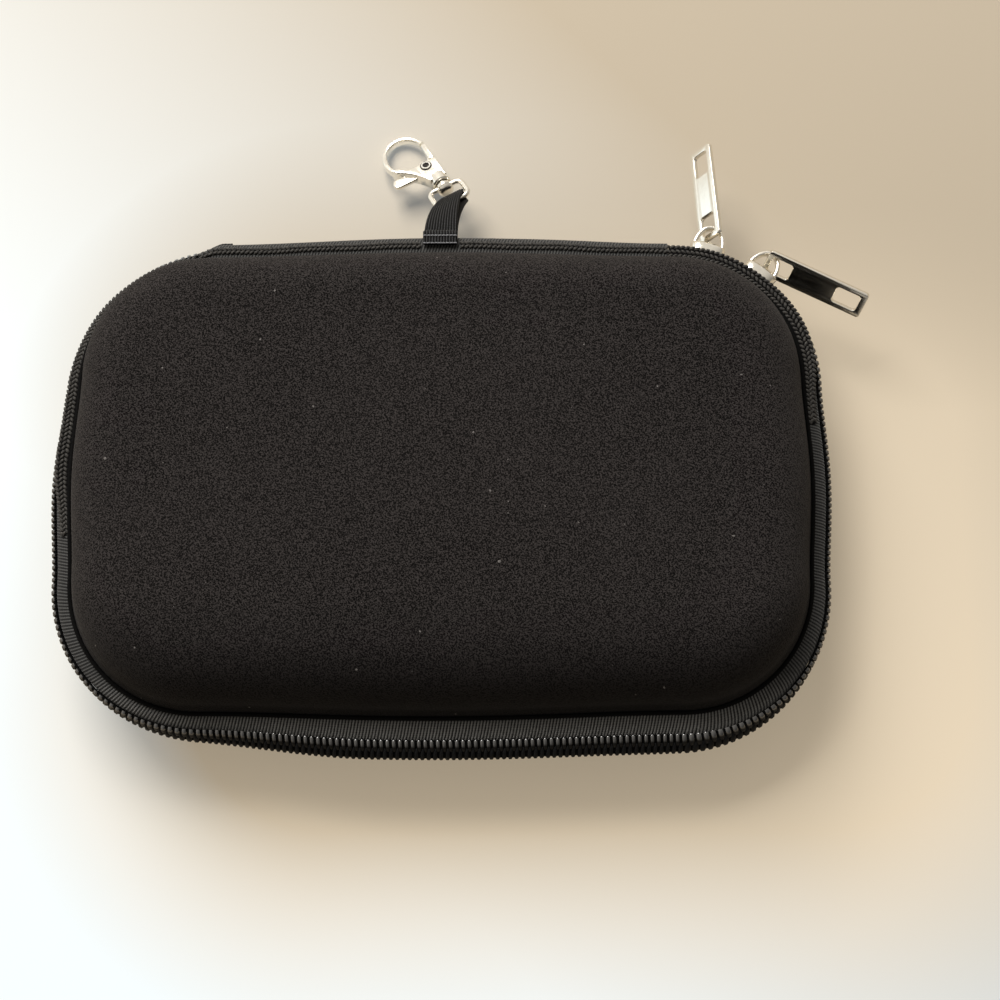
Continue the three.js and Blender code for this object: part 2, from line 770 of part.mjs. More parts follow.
// Webbing folded round the far side of the ring and sewn to the hinge strip by both ends
function webbingLoop() {
  const seam = new THREE.Vector3(webbingSeamX, stripFace + fitClearance, parting);
  const fold = new THREE.Vector3(ringFar, 0, 0).applyMatrix4(clasp.matrix);
  const bend = seam.clone().add(new THREE.Vector3(0, (fold.y - seam.y) / 2, 0));
  const centreLine = new THREE.QuadraticBezierCurve3(seam, bend, fold);
  const seamWidthAxis = new THREE.Vector3(1, 0, 0);
  const foldWidthAxis = new THREE.Vector3(0, -1, 0).transformDirection(clasp.matrix);
  const foldRadius = ringWire / 2 + fitClearance + webbingThickness / 2;
  const section = (centre, widthAxis, normal, width) => [[1, 1], [-1, 1], [-1, -1], [1, -1]]
    .map(([side, face]) => centre.clone().addScaledVector(widthAxis, side * width / 2)
      .addScaledVector(normal, face * webbingThickness / 2).toArray());
  const frameAt = (t) => {
    const widthAxis = seamWidthAxis.clone().lerp(foldWidthAxis, t).normalize();
    const normal = widthAxis.clone().cross(centreLine.getTangent(t)).normalize();
    return { widthAxis, normal };
  };
  const layer = (t, face) => {
    const { widthAxis, normal } = frameAt(t);
    const spread = webbingSeamSpread + (foldRadius - webbingSeamSpread) * t;
    const width = webbingWidth + (webbingFoldWidth - webbingWidth) * t;
    const centre = centreLine.getPoint(t).addScaledVector(normal, face * spread);
    return section(centre, widthAxis, normal.multiplyScalar(face), width);
  };
  const rows = [];
  for (let step = 0; step < bendFacets; step++) {
    rows.push(layer(step / bendFacets, 1));
  }
  const { normal } = frameAt(1);
  const forward = normal.clone().cross(foldWidthAxis).normalize();
  for (let step = 0; step <= bendFacets; step++) {
    const turn = PI * step / bendFacets;
    const radial = normal.clone().multiplyScalar(cos(turn)).addScaledVector(forward, sin(turn));
    const centre = fold.clone().addScaledVector(radial, foldRadius);
    rows.push(section(centre, foldWidthAxis, radial, webbingFoldWidth));
  }
  for (let step = bendFacets - 1; step >= 0; step--) {
    rows.push(layer(step / bendFacets, -1));
  }
  return skin(rows);
}

// Inside: a net pocket with an elastic hem in the lid, and an elastic strap in the base
const liningFace = liningInset + liningThickness + fitClearance;

function lidSheet(thickness, back, front) {
  const outline = liningStations.map((s) => offsetPoint(s, -liningFace - wallDraft, 0));
  const shape = new THREE.Shape(outline.map(([x, y]) => new THREE.Vector2(x, y)));
  const sheet = solid(plate(shape, thickness));
  const cut = sheet.intersect(box(-shellWidth, shellWidth, front, back, 2 * thickness));
  return geometryOf(cut).translate(0, 0, parting + rimRise + netDrop);
}

function elasticStrap() {
  const floorHeight = liningFace + strapThickness / 2;
  const spine = Array.from({ length: strapSteps + 1 }, (_, i) => {
    const u = i / strapSteps - 0.5;
    return [u * strapSpan, floorHeight + strapRise * cos(u * PI) ** 2];
  });
  const section = ribbonSection(spine, strapThickness);
  return skin([-1, 1].map((end) => section.map(([y, z]) => [strapX + end * strapWidth / 2, y, z])));
}

function buildInside() {
  const netEdge = netFront - halfDepth;
  addPiece('lid_net', lidSheet(netThickness, netEdge, -shellDepth), liningFabric);
  const hemFront = netEdge + fitClearance;
  addPiece('net_hem', lidSheet(netHemThickness, hemFront + netHemWidth, hemFront), tapeFabric);
  addPiece('base_strap', elasticStrap(), tapeFabric);
}

buildShells();
buildZip();
buildSlider('a', sliderAngleA, pullRollA, pullDroopA, pullYawA);
buildSlider('b', sliderAngleB, pullRollB, pullDroopB, pullYawB);
addPiece('webbing_loop', webbingLoop(), webbingFabric);
buildClasp();
buildInside();

export default model;
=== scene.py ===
import bmesh
import bpy
import numpy as np
from mathutils import Euler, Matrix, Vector


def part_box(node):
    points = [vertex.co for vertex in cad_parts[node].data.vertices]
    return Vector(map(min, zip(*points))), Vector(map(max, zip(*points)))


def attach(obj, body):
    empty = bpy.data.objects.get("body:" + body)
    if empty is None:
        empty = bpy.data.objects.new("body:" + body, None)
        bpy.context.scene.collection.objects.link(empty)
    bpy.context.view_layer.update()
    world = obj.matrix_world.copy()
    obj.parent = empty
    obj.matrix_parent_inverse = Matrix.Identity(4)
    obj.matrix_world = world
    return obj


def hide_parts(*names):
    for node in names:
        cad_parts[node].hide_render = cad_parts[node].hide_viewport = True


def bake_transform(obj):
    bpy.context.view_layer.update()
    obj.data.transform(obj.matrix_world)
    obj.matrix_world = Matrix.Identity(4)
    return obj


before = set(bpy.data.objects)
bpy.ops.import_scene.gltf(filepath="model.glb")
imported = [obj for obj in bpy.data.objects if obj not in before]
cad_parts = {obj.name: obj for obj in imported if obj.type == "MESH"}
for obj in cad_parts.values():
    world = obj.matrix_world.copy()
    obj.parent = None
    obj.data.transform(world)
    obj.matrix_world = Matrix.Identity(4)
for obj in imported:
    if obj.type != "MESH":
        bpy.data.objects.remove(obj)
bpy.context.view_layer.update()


# Lid and base shells
# Two bowls of EVA foam, 3 mm thick, pressed hot in a mould together with the black knitted cloth
# that covers them. Each is sewn by its rim to one side of the zip.
SHELL_WIDTH = 0.169
SHELL_DEPTH = 0.108
CORNER_RADIUS = 0.030
SIDE_BOW = 0.0012
EDGE_RADIUS = 0.013
WALL_DRAFT = 0.001
FOAM_THICKNESS = 0.003
LID_CROWN = 0.0008
FLOOR_MARGIN = 0.001
LONG_SIDE = SHELL_WIDTH - 2 * CORNER_RADIUS
SHORT_SIDE = SHELL_DEPTH - 2 * CORNER_RADIUS
CORNER_ARC = np.pi / 2 * CORNER_RADIUS
PERIMETER = 2 * (LONG_SIDE + SHORT_SIDE) + 4 * CORNER_ARC
BASE_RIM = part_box("base_shell")[1].z
LID_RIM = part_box("lid_shell")[0].z
PARTING = (BASE_RIM + LID_RIM) / 2
RIM_RISE = LID_RIM - PARTING


def wall_line(distance):
    """Points and outward angles of the shells' wall line, seen from above, at distances counted
    counterclockwise from the middle of the back: four sides that swell by bow (1 - u^2)^2,
    joined by quarter circles."""
    left = np.mod(np.asarray(distance, float) + LONG_SIDE / 2, PERIMETER)
    x, y, angle = np.zeros_like(left), np.zeros_like(left), np.zeros_like(left)
    start = 0.0
    for side in range(4):
        face = (side + 1) * np.pi / 2
        length, reach = ((SHORT_SIDE, SHELL_WIDTH / 2) if side % 2 else (LONG_SIDE, SHELL_DEPTH / 2))
        along = left - start - length / 2
        out = reach + SIDE_BOW * (1 - (2 * along / length) ** 2) ** 2
        here = (left >= start) & (left <= start + length)
        x = np.where(here, out * np.cos(face) - along * np.sin(face), x)
        y = np.where(here, out * np.sin(face) + along * np.cos(face), y)
        angle = np.where(here, face, angle)
        start += length
        turn = face + (left - start) / CORNER_RADIUS
        here = (left > start) & (left < start + CORNER_ARC)
        middle = reach - CORNER_RADIUS
        centre_x = middle * np.cos(face) - length / 2 * np.sin(face)
        centre_y = middle * np.sin(face) + length / 2 * np.cos(face)
        x = np.where(here, centre_x + CORNER_RADIUS * np.cos(turn), x)
        y = np.where(here, centre_y + CORNER_RADIUS * np.sin(turn), y)
        angle = np.where(here, turn, angle)
        start += CORNER_ARC
    return x, y, angle


def points(x, y, z):
    """One array of points from three arrays or numbers."""
    return np.stack(np.broadcast_arrays(x, y, z), -1)


def full_turn(count):
    """Angles evenly spaced once round."""
    return np.linspace(0, 2 * np.pi, count, endpoint=False)


def beside_wall(distance, offset, height):
    """Points at distances along the wall line, moved outwards by the offset and set at the height."""
    x, y, angle = wall_line(distance)
    return points(x + offset * np.cos(angle), y + offset * np.sin(angle), height)


def surface(grid, wrap_rows=False, wrap_columns=False, row_uv=None, column_uv=None):
    """Vertices, faces and face-corner UVs of a grid of points: every four neighbours are a face,
    and a wrapped direction joins its last line to its first. The UVs are one value for each line
    of the grid, and one more where it wraps."""
    rows, columns = grid.shape[:2]
    i, j = np.meshgrid(np.arange(rows - 1 + wrap_rows), np.arange(columns - 1 + wrap_columns), indexing="ij")
    corners_i = np.stack([i, i + 1, i + 1, i], -1).reshape(-1, 4)
    corners_j = np.stack([j, j, j + 1, j + 1], -1).reshape(-1, 4)
    faces = (corners_i % rows) * columns + corners_j % columns
    u = np.arange(rows + 1.0) if row_uv is None else np.asarray(row_uv)
    v = np.arange(columns + 1.0) if column_uv is None else np.asarray(column_uv)
    return grid.reshape(-1, 3), faces, np.stack([u[corners_i], v[corners_j]], -1).reshape(-1, 2)


def capped(rows):
    """A stack of closed sections with each end drawn in to its middle, which closes the tube."""
    ends = rows[..., [0, -1], :, :].mean(-2, keepdims=True).repeat(rows.shape[-2], -2)
    return np.concatenate([ends[..., :1, :, :], rows, ends[..., 1:, :, :]], -3)


def add_piece(name, parts, material, sharp=40):
    """One object from several surfaces: equal points are merged, the faces are turned outwards, and
    edges that bend more than the sharp angle in degrees stay crisp."""
    counts = np.cumsum([0] + [len(part[0]) for part in parts])
    faces = [face for part, first in zip(parts, counts) for face in (part[1] + first).tolist()]
    mesh = bpy.data.meshes.new(name)
    mesh.from_pydata(np.concatenate([part[0] for part in parts]), [], faces)
    uv = mesh.uv_layers.new(name="UVMap")
    uv.uv.foreach_set("vector", np.concatenate([part[2] for part in parts]).astype(np.float32).ravel())
    work = bmesh.new()
    work.from_mesh(mesh)
    bmesh.ops.remove_doubles(work, verts=work.verts, dist=1e-7)
    bmesh.ops.recalc_face_normals(work, faces=work.faces)
    work.to_mesh(mesh)
    work.free()
    mesh.polygons.foreach_set("use_smooth", np.ones(len(mesh.polygons), bool))
    mesh.set_sharp_from_angle(angle=np.radians(sharp))
    mesh.materials.append(material)
    piece = bpy.data.objects.new(name, mesh)
    bpy.context.scene.collection.objects.link(piece)
    return piece


def fit(piece, node, body):
    """Put a piece in the frame: the solid that it stands for and the body that carries it."""
    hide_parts(node)
    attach(piece, body)


class Wire:
    """A socket of a material's nodes, so that shader sums are written as Python sums."""

    def __init__(self, tree, socket=None):
        self.tree = tree
        self.socket = socket

    def node(self, kind, settings=None, sockets=None, output=0):
        """A new node: its settings first, then its sockets' values or links, and one output as a wire."""
        made = self.tree.nodes.new(kind)
        for name, value in (settings or {}).items():
            if name == "stops":
                for element, (place, grey) in zip(made.color_ramp.elements, value):
                    element.position = place
                    element.color = (grey, grey, grey, 1)
            else:
                setattr(made, name, value)
        for key, value in (sockets or {}).items():
            if isinstance(value, Wire):
                self.tree.links.new(value.socket, made.inputs[key])
            else:
                made.inputs[key].default_value = value
        return Wire(self.tree, made.outputs[output])

    def math(self, operation, *values):
        return self.node("ShaderNodeMath", {"operation": operation}, dict(enumerate(values)))

    def __add__(self, other):
        return self.math("ADD", self, other)

    def __sub__(self, other):
        return self.math("SUBTRACT", self, other)

    def __rsub__(self, other):
        return self.math("SUBTRACT", other, self)

    def __mul__(self, other):
        return self.math("MULTIPLY", self, other)

    def __truediv__(self, other):
        return self.math("DIVIDE", self, other)

    __radd__ = __add__
    __rmul__ = __mul__

    def place(self):
        """Object coordinates, in metres."""
        return self.node("ShaderNodeTexCoord", output="Object")

    def along(self):
        """The two values of the piece's own UV map, in metres along and across it."""
        uv = self.node("ShaderNodeTexCoord", output="UV")
        return uv.axis("X"), uv.axis("Y")

    def axis(self, letter):
        return self.node("ShaderNodeSeparateXYZ", None, {0: self}, letter)

    def noise(self, scale, detail=2.0, roughness=0.5):
        """Cloudy values about a half at a place, with so many clouds to the metre."""
        return self.node("ShaderNodeTexNoise", None,
                         {"Vector": self, "Scale": scale, "Detail": detail, "Roughness": roughness})

    def ramp(self, low, high):
        """0 below the low value, 1 above the high one, and even between them."""
        return self.node("ShaderNodeValToRGB", {"stops": [(low, 0.0), (high, 1.0)]}, {"Fac": self})

    def wave(self, length):
        """A smooth wave from 0 to 1 with the given length, along the wire's value."""
        return self.math("SINE", self * (2 * np.pi / length)) * 0.5 + 0.5

    def colour(self, low, high):
        """A colour between two others, by the wire's value."""
        return self.node("ShaderNodeMix", {"data_type": "RGBA"},
                         {0: self, 6: (*low, 1), 7: (*high, 1)}, 2)

    def bump(self, height, strength=1.0):
        """A normal for a surface whose wire stands up by the height in metres."""
        return self.node("ShaderNodeBump", None,
                         {"Strength": strength, "Distance": height, "Height": self})


def finish(name, constants, varying):
    """A material: the constants are set on the shader's sockets, and varying takes the material's
    wire and gives the wires that change over the surface, by socket."""
    material = bpy.data.materials.new(name)
    material.use_nodes = True
    tree = material.node_tree
    shader = tree.nodes["Principled BSDF"]
    for socket, value in constants.items():
        shader.inputs[socket].default_value = value
    for socket, wire in varying(Wire(tree)).items():
        tree.links.new(wire.socket, shader.inputs[socket])
    return material


CLOTH_COLOURS = ((0.001, 0.0008, 0.0008), (0.0495, 0.0432, 0.0415))
LINT_COLOUR = (0.2, 0.185, 0.175, 1)
FIBRES_TO_METRE = 3000
LINT_TO_METRE = 900
KNIT_PITCH = 0.00068
KNIT_UNEVEN = 0.0007
GRAIN_TURN = (0.6, 0.45, 0.3)


def knitted_cloth(wire):
    """Fine slanting knit broken up by fibre ends and a little lint. It carries painted shade: darker on the
    walls near the rim than on the top, and darker still along the front."""
    place = wire.place()
    grain = wire.node("ShaderNodeVectorRotate", {"rotation_type": "EULER_XYZ"},
                      {"Vector": place, "Rotation": GRAIN_TURN})
    fibre = grain.noise(FIBRES_TO_METRE, 2.0, 0.6).ramp(0.45, 0.56)
    slant = place.axis("X") * 0.86 + place.axis("Y") * 0.5 + place.noise(900, 1.0) * KNIT_UNEVEN
    knit = slant.wave(KNIT_PITCH)
    patch = place.noise(22, 3.0).ramp(0.3, 0.75)
    from_rim = wire.math("ABSOLUTE", place.axis("Z") - PARTING)
    # nap is painted shade: the cloth is darker on the walls near the rim than on the top.
    nap = (from_rim * 50).ramp(0.42, 0.94)
    # front is painted shade, darker towards the front of the case.
    front = (place.axis("Y") * -30 - 0.9).ramp(0.0, 1.0)
    speck_with_painted_shade = (fibre * 0.82 + knit * 0.1 + patch * 0.08) * (nap * 0.7 + 0.3) * (1 - front * 0.9)
    cloth = speck_with_painted_shade.colour(*CLOTH_COLOURS)
    lint = grain.noise(LINT_TO_METRE, 0.0).ramp(0.885, 0.9)
    linty = wire.node("ShaderNodeMix", {"data_type": "RGBA"}, {0: lint, 6: cloth, 7: LINT_COLOUR}, 2)
    return {
        "Base Color": linty,
        "Roughness": 0.95 - fibre * 0.15,
        "Normal": (fibre * 0.7 + knit * 0.25).bump(0.00012, 0.8),
    }


shell_cloth = finish("shell_cloth", {
    "Specular IOR Level": 0.06,
    "Sheen Weight": 0.08,
    "Sheen Roughness": 0.5,
    "Sheen Tint": (0.9, 0.85, 0.82, 1),
}, knitted_cloth)


def shell_rings(height, inset, crown, arc_steps=14):
    """Offsets and rises of a bowl's rings from rim to middle: a wall with draft, a quarter round
    of the edge radius less the inset, and a floor that rises by the crown, (1 - cos) / 2."""
    turn = np.linspace(0, np.pi / 2, arc_steps)
    radius = EDGE_RADIUS - inset
    shoulder = height - EDGE_RADIUS
    wall = np.linspace(0, 1, 4)[:-1]
    offsets = [inset + WALL_DRAFT * wall, inset + WALL_DRAFT + radius * (1 - np.cos(turn))]
    rises = [RIM_RISE + (shoulder - RIM_RISE) * wall, shoulder + radius * np.sin(turn)]
    inward = np.linspace(0, 1, 8)[1:]
    edge = offsets[1][-1]
    offsets.append(edge + (CORNER_RADIUS - FLOOR_MARGIN - edge) * inward)
    rises.append(height - inset + crown * (1 - np.cos(np.pi * 0.5 * inward)) / 2)
    return -np.concatenate(offsets), np.concatenate(rises)


def bowl(side, height, inset, thickness, crown):
    """A bowl between two skins, its rings drawn in to the middle; side is 1 for the lid, -1 for the base."""
    around = np.linspace(0, PERIMETER, 220, endpoint=False)
    skins = []
    for depth in (inset, inset + thickness):
        offsets, rises = shell_rings(height, depth, crown)
        rings = beside_wall(around, offsets[:, None], PARTING + side * rises[:, None])
        shrink = np.linspace(1, 0, 9)[1:, None, None]
        middle = rings[-1] * np.concatenate([shrink, shrink, np.ones_like(shrink)], -1)
        middle[..., 2] += side * crown / 2 * (1 - shrink[..., 0] ** 2)
        skins.append(np.concatenate([rings, middle]))
    return surface(np.concatenate([skins[0][::-1], skins[1]]), wrap_columns=True)


BASE_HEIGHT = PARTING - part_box("base_shell")[0].z
LID_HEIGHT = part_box("lid_shell")[1].z - PARTING - LID_CROWN
for part_name, side, height, crown, body in (
    ("base_shell", -1, BASE_HEIGHT, 0.0, "base"),
    ("lid_shell", 1, LID_HEIGHT, LID_CROWN, "lid"),
):
    shell = add_piece(f"{part_name}_cloth", [bowl(side, height, 0.0, FOAM_THICKNESS, crown)], shell_cloth)
    fit(shell, part_name, body)


# Linings
# Soft brushed cloth laminated to the inside of each foam bowl before it is pressed.
LINING_INSET = 0.0033
LINING_THICKNESS = 0.0006
LINING_COLOURS = ((0.016, 0.016, 0.018), (0.05, 0.05, 0.053))


def brushed_cloth(wire):
    """Short nap: cloudy light and dark at two sizes."""
    place = wire.place()
    nap = place.noise(900, 4.0, 0.65)
    stroke = place.noise(60, 2.0)
    return {
        "Base Color": (nap * 0.6 + stroke * 0.4).ramp(0.3, 0.7).colour(*LINING_COLOURS),
        "Roughness": 0.9 + nap * 0.1,
        "Normal": nap.bump(0.0002, 0.6),
    }


lining_cloth = finish("lining_cloth", {"Specular IOR Level": 0.2, "Sheen Weight": 0.3}, brushed_cloth)
for part_name, side, height, crown, body in (
    ("base_lining", -1, BASE_HEIGHT, 0.0, "base"),
    ("lid_lining", 1, LID_HEIGHT, LID_CROWN, "lid"),
):
    layer = bowl(side, height, LINING_INSET, LINING_THICKNESS, crown)
    lining = add_piece(f"{part_name}_cloth", [layer], lining_cloth)
    fit(lining, part_name, body)


# Zip tapes
# Two woven polyester tapes, ribbed across. Each is sewn by its inner edge to one rim and turns
# outwards, so that its coil lies on the outside; along the front the whole zip leans outwards.
TAPE_EDGE = 0.0005
TAPE_CHAIN_WIDTH = 0.0031
TAPE_SEWN_DEPTH = 0.0026
TAPE_FLANGE_RISE = 0.0036
TAPE_THICKNESS = 0.0007
SEAM_OFFSET = 0.0003
ZIP_SIDE_REACH = 0.0034
ZIP_FRONT_REACH = 0.0062
ZIP_FRONT_LEAN = np.radians(45)
LEFT_LEAN = (0.165, 0.235)
LEFT_REACH = (0.185, 0.235)
RIGHT_LEAN = (0.16, 0.205)
RIGHT_REACH = (0.145, 0.205)
ZIP_TUCKS = ((0.092, 0.037, 0.0012), (0.073, 0.034, 0.0017))
TAPE_RIB_PITCH = 0.00072
TAPE_THREAD_PITCH = 0.00034
THREAD_WAVER = 0.0001
TAPE_COLOURS = ((0.011, 0.011, 0.0108), (0.42, 0.412, 0.395))
STRIP_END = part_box("hinge_strip")[1].x
STRIP_LEFT = STRIP_END + 0.004
ZIP_START = STRIP_LEFT + SEAM_OFFSET
ZIP_END = PERIMETER - STRIP_END - SEAM_OFFSET


def eased(value, span):
    """t^2 (3 - 2 t), where t runs from 0 to 1 over a span of the value."""
    t = np.clip((value - span[0]) / (span[1] - span[0]), 0, 1)
    return t * t * (3 - 2 * t)


def zip_place(distance, across, out):
    """Offset from the wall line and rise from the parting line of a point of the zip: across is
    measured up in the plane of the tape and out square to it. The plane leans and stands further
    out along the front, which it comes to more slowly on the left than on the right. At the back
    left corner it is tucked in by (1 - u^2)^2."""
    left = distance < PERIMETER / 2
    from_right = PERIMETER - distance
    tuck = sum(depth * (1 - np.clip(np.abs(distance - place) / half, 0, 1) ** 2) ** 2
               for place, half, depth in ZIP_TUCKS)
    lean = ZIP_FRONT_LEAN * np.where(left, eased(distance, LEFT_LEAN), eased(from_right, RIGHT_LEAN))
    front = np.where(left, eased(distance, LEFT_REACH), eased(from_right, RIGHT_REACH))
    reach = ZIP_SIDE_REACH + (ZIP_FRONT_REACH - ZIP_SIDE_REACH) * front - tuck
    return (reach - across * np.sin(lean) + out * np.cos(lean),
            across * np.cos(lean) + out * np.sin(lean))


def rounded(line, times=3):
    """A bent line with its corners cut: each pass keeps the ends and puts points at a quarter and
    at three quarters of every stretch."""
    for _ in range(times):
        near, far = line[..., :-1, :], line[..., 1:, :]
        cut = np.stack([0.75 * near + 0.25 * far, 0.25 * near + 0.75 * far], -2)
        cut = cut.reshape(*line.shape[:-2], -1, line.shape[-1])
        line = np.concatenate([line[..., :1, :], cut, line[..., -1:, :]], -2)
    return line


def ribbon(line, thickness):
    """A closed section round a bent line: the line moved to both sides by half the thickness."""
    run = np.gradient(line, axis=-2)
    normal = np.stack([-run[..., 1], run[..., 0]], -1) / np.linalg.norm(run, axis=-1, keepdims=True)
    half = normal * thickness / 2
    return np.concatenate([line + half, (line - half)[..., ::-1, :]], -2)


def loop_length(section):
    """Length round a closed section up to each of its points, and once round."""
    steps = np.linalg.norm(np.roll(section, -1, 0) - section, axis=-1)
    return np.concatenate([[0], np.cumsum(steps)])


def band(along, lines, thickness):
    """A cloth band: each line, of offsets and rises, gets a ribbon section and stands at its
    distance along the wall line. The UVs are metres along and round the band."""
    sections = ribbon(rounded(lines), thickness)
    rows = beside_wall(along[:, None], sections[..., 0], PARTING + sections[..., 1])
    return surface(capped(rows), wrap_columns=True,
                   row_uv=np.concatenate([along[:1], along, along[-1:]]), column_uv=loop_length(sections[0]))


def ribbed_weave(wire):
    """Cross ribs along the tape, with threads over and under them and a little fluff; painted light makes the
    front paler than the rest."""
    along, across = wire.along()
    place = wire.place()
    fluff = place.noise(1300, 3.0, 0.6)
    rib = (along + across * 0.3).wave(TAPE_RIB_PITCH)
    thread = (across + fluff * THREAD_WAVER).wave(TAPE_THREAD_PITCH)
    weave = rib * 0.65 + thread * 0.15 + fluff * 0.35
    # Painted light: the weave is left bright along the front and darkened everywhere else.
    painted_front_light = (place.axis("Y") * -60 - 2.7).ramp(0.0, 1.0)
    return {
        "Base Color": (weave.ramp(0.3, 0.85) * (painted_front_light * 0.83 + 0.17)).colour(*TAPE_COLOURS),
        "Roughness": 0.95 - rib * 0.2,
        "Normal": weave.bump(0.0003, 0.9),
    }


tape_weave = finish("tape_weave", {"Specular IOR Level": 0.3, "Sheen Weight": 0.15}, ribbed_weave)


def carry_zip(piece, side):
    """The lower side of the zip rides the base; the upper side, which peels off it with the lid, is baked in
    place and carried by no body.
    """
    if side < 0:
        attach(piece, "base")
    else:
        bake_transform(piece)


zip_run = np.linspace(ZIP_START, ZIP_END, 480)
for part_name, side in (("zip_tape_lower", -1), ("zip_tape_upper", 1)):
    bends = [zip_place(zip_run, side * width, 0) for width in (TAPE_EDGE, TAPE_CHAIN_WIDTH)]
    bends += [(np.full_like(zip_run, offset), np.full_like(zip_run, side * TAPE_FLANGE_RISE))
              for offset in (SEAM_OFFSET, -TAPE_SEWN_DEPTH)]
    tape_lines = np.stack([np.stack(bend, -1) for bend in bends], 1)
    tape = add_piece(f"{part_name}_weave", [band(zip_run, tape_lines, TAPE_THICKNESS)], tape_weave)
    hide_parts(part_name)
    carry_zip(tape, side)


# Zip coils
# Black nylon thread wound into a coil and pressed so that every turn is one tooth. The heads of the
# two rows lie between each other, half a pitch apart, and are spread where the sliders stand.
TOOTH_PITCH = 0.00142
TOOTH_FOOT = 0.0025
TOOTH_HEAD = -0.0003
TOOTH_ROOT_OUT = 0.0005
TOOTH_ARCH = 0.0009
TOOTH_HALF_WIDTH = 0.00056
TOOTH_HALF_THICKNESS = 0.00042
TOOTH_SLANT = 0.00022
CORE_OUT = 0.00085
CORE_HALF_DEPTH = 0.00045
CORE_EDGE = 0.0001
PARTED_GAP = 0.00095
PARTING_RAMP = np.radians(20) * CORNER_RADIUS


def row_spread(distance):
    """How far the rows are spread at a place: nothing, then eased up to the back right corner."""
    corner_start = PERIMETER - LONG_SIDE / 2 - CORNER_ARC
    return PARTED_GAP * eased(distance, (corner_start - PARTING_RAMP, corner_start))


def many(tubes):
    """The surfaces of many like tubes, each a closed grid of points."""
    _, faces, uv = surface(tubes[0], wrap_columns=True)
    first = np.arange(len(tubes))[:, None, None] * (tubes.shape[1] * tubes.shape[2])
    return tubes.reshape(-1, 3), (faces + first).reshape(-1, 4), np.tile(uv, (len(tubes), 1))


def coil_teeth(side):
    """Every tooth is an arch from its foot on the tape over to its head: across eased by
    (1 - cos) / 2, out by the root of a sine, with an oval section that is fullest near the head."""
    count = int((ZIP_END - ZIP_START) / TOOTH_PITCH) - 1
    place = (ZIP_START + TOOTH_PITCH * (np.arange(count) + (0.5 if side > 0 else 1.0)))[:, None]
    t = np.linspace(0.02, 0.98, 8)
    head = TOOTH_HEAD + row_spread(place)
    across = TOOTH_FOOT + (head - TOOTH_FOOT) * (1 - np.cos(np.pi * t)) / 2
    out = np.broadcast_to(TOOTH_ROOT_OUT + TOOTH_ARCH * np.sqrt(np.sin(np.pi * t)), across.shape)
    run = np.gradient(across, axis=1)
    rise = np.gradient(out, axis=1)
    length = np.hypot(run, rise)
    turn = np.arange(6) * np.pi / 3
    thick = TOOTH_HALF_THICKNESS * np.sin(turn)
    wide = TOOTH_HALF_WIDTH * (0.88 + 0.12 * np.sin(np.pi * t))[:, None] * np.cos(turn)
    s = place[..., None] + TOOTH_SLANT * (t[:, None] - 0.5) + wide
    tooth_across = across[..., None] - (rise / length)[..., None] * thick
    tooth_out = out[..., None] + (run / length)[..., None] * thick
    offset, height = zip_place(s, side * tooth_across, tooth_out)
    return many(capped(beside_wall(s, offset, PARTING + height)))


def coil_core(side):
    """The filling cord inside a coil: an oval carried along the tape from the teeth's feet to their heads."""
    s = np.linspace(ZIP_START, ZIP_END, 700)[:, None]
    turn = np.arange(8) * np.pi / 4
    edge = row_spread(s) + CORE_EDGE
    across = (TOOTH_FOOT + edge) / 2 + (TOOTH_FOOT - edge) / 2 * np.cos(turn)
    offset, height = zip_place(s, side * across, CORE_OUT + CORE_HALF_DEPTH * np.sin(turn))
    return surface(capped(beside_wall(s, offset, PARTING + height)), wrap_columns=True)


def pressed_nylon(wire):
    """Glossy black with a slightly uneven skin, which the sliders have polished on the upper turns."""
    place = wire.place()
    cloud = place.noise(700, 2.0)
    return {
        "Base Color": cloud.colour((0.005, 0.005, 0.0055), (0.013, 0.013, 0.0135)),
        "Roughness": 0.3 + cloud * 0.2,
        "Coat Weight": ((place.axis("Z") - PARTING) * 400).ramp(0.8, 0.98),
        "Normal": place.noise(2600, 2.0).bump(0.00003, 0.4),
    }


coil_nylon = finish("coil_nylon", {"IOR": 1.2, "Coat IOR": 2.2, "Coat Roughness": 0.12}, pressed_nylon)


def twisted_cord(wire):
    """Black yarn with faint fluff."""
    fluff = wire.place().noise(2200, 3.0, 0.6)
    return {
        "Base Color": fluff.ramp(0.4, 0.8).colour((0.0012, 0.0012, 0.0012), (0.006, 0.0058, 0.0055)),
        "Roughness": 0.85 + fluff * 0.1,
        "Normal": fluff.bump(0.0001, 0.6),
    }


black_cord = finish("black_cord", {"Specular IOR Level": 0.1}, twisted_cord)
for part_name, side in (("zip_coil_lower", -1), ("zip_coil_upper", 1)):
    coil = add_piece(f"{part_name}_teeth", [coil_teeth(side)], coil_nylon, sharp=80)
    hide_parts(part_name)
    core = add_piece(f"{part_name}_core", [coil_core(side)], black_cord)
    for piece in (coil, core):
        carry_zip(piece, side)


# Hinge strip
# Woven strip along the back, sewn by its two edges to the rims, which bends as the lid opens. The
# zip's tapes end next to it, and a folded end of tape is sewn over each joint.
STRIP_REACH = 0.0062
STRIP_STEPS = 160
STRIP_DRAWN_IN = 0.0005
STRIP_TAPER = 0.0004
STRIP_TAPER_LENGTH = 0.03
STRIP_STEP = 0.002
STRIP_STEP_LENGTH = 0.005
strip_run = np.linspace(-STRIP_END, STRIP_LEFT, STRIP_STEPS)
lower_edge = [(-TAPE_SEWN_DEPTH, -TAPE_FLANGE_RISE), (SEAM_OFFSET, -TAPE_FLANGE_RISE),
              (STRIP_REACH, -TAPE_CHAIN_WIDTH)]
strip_line = np.array(lower_edge + [(offset, -rise) for offset, rise in reversed(lower_edge)])


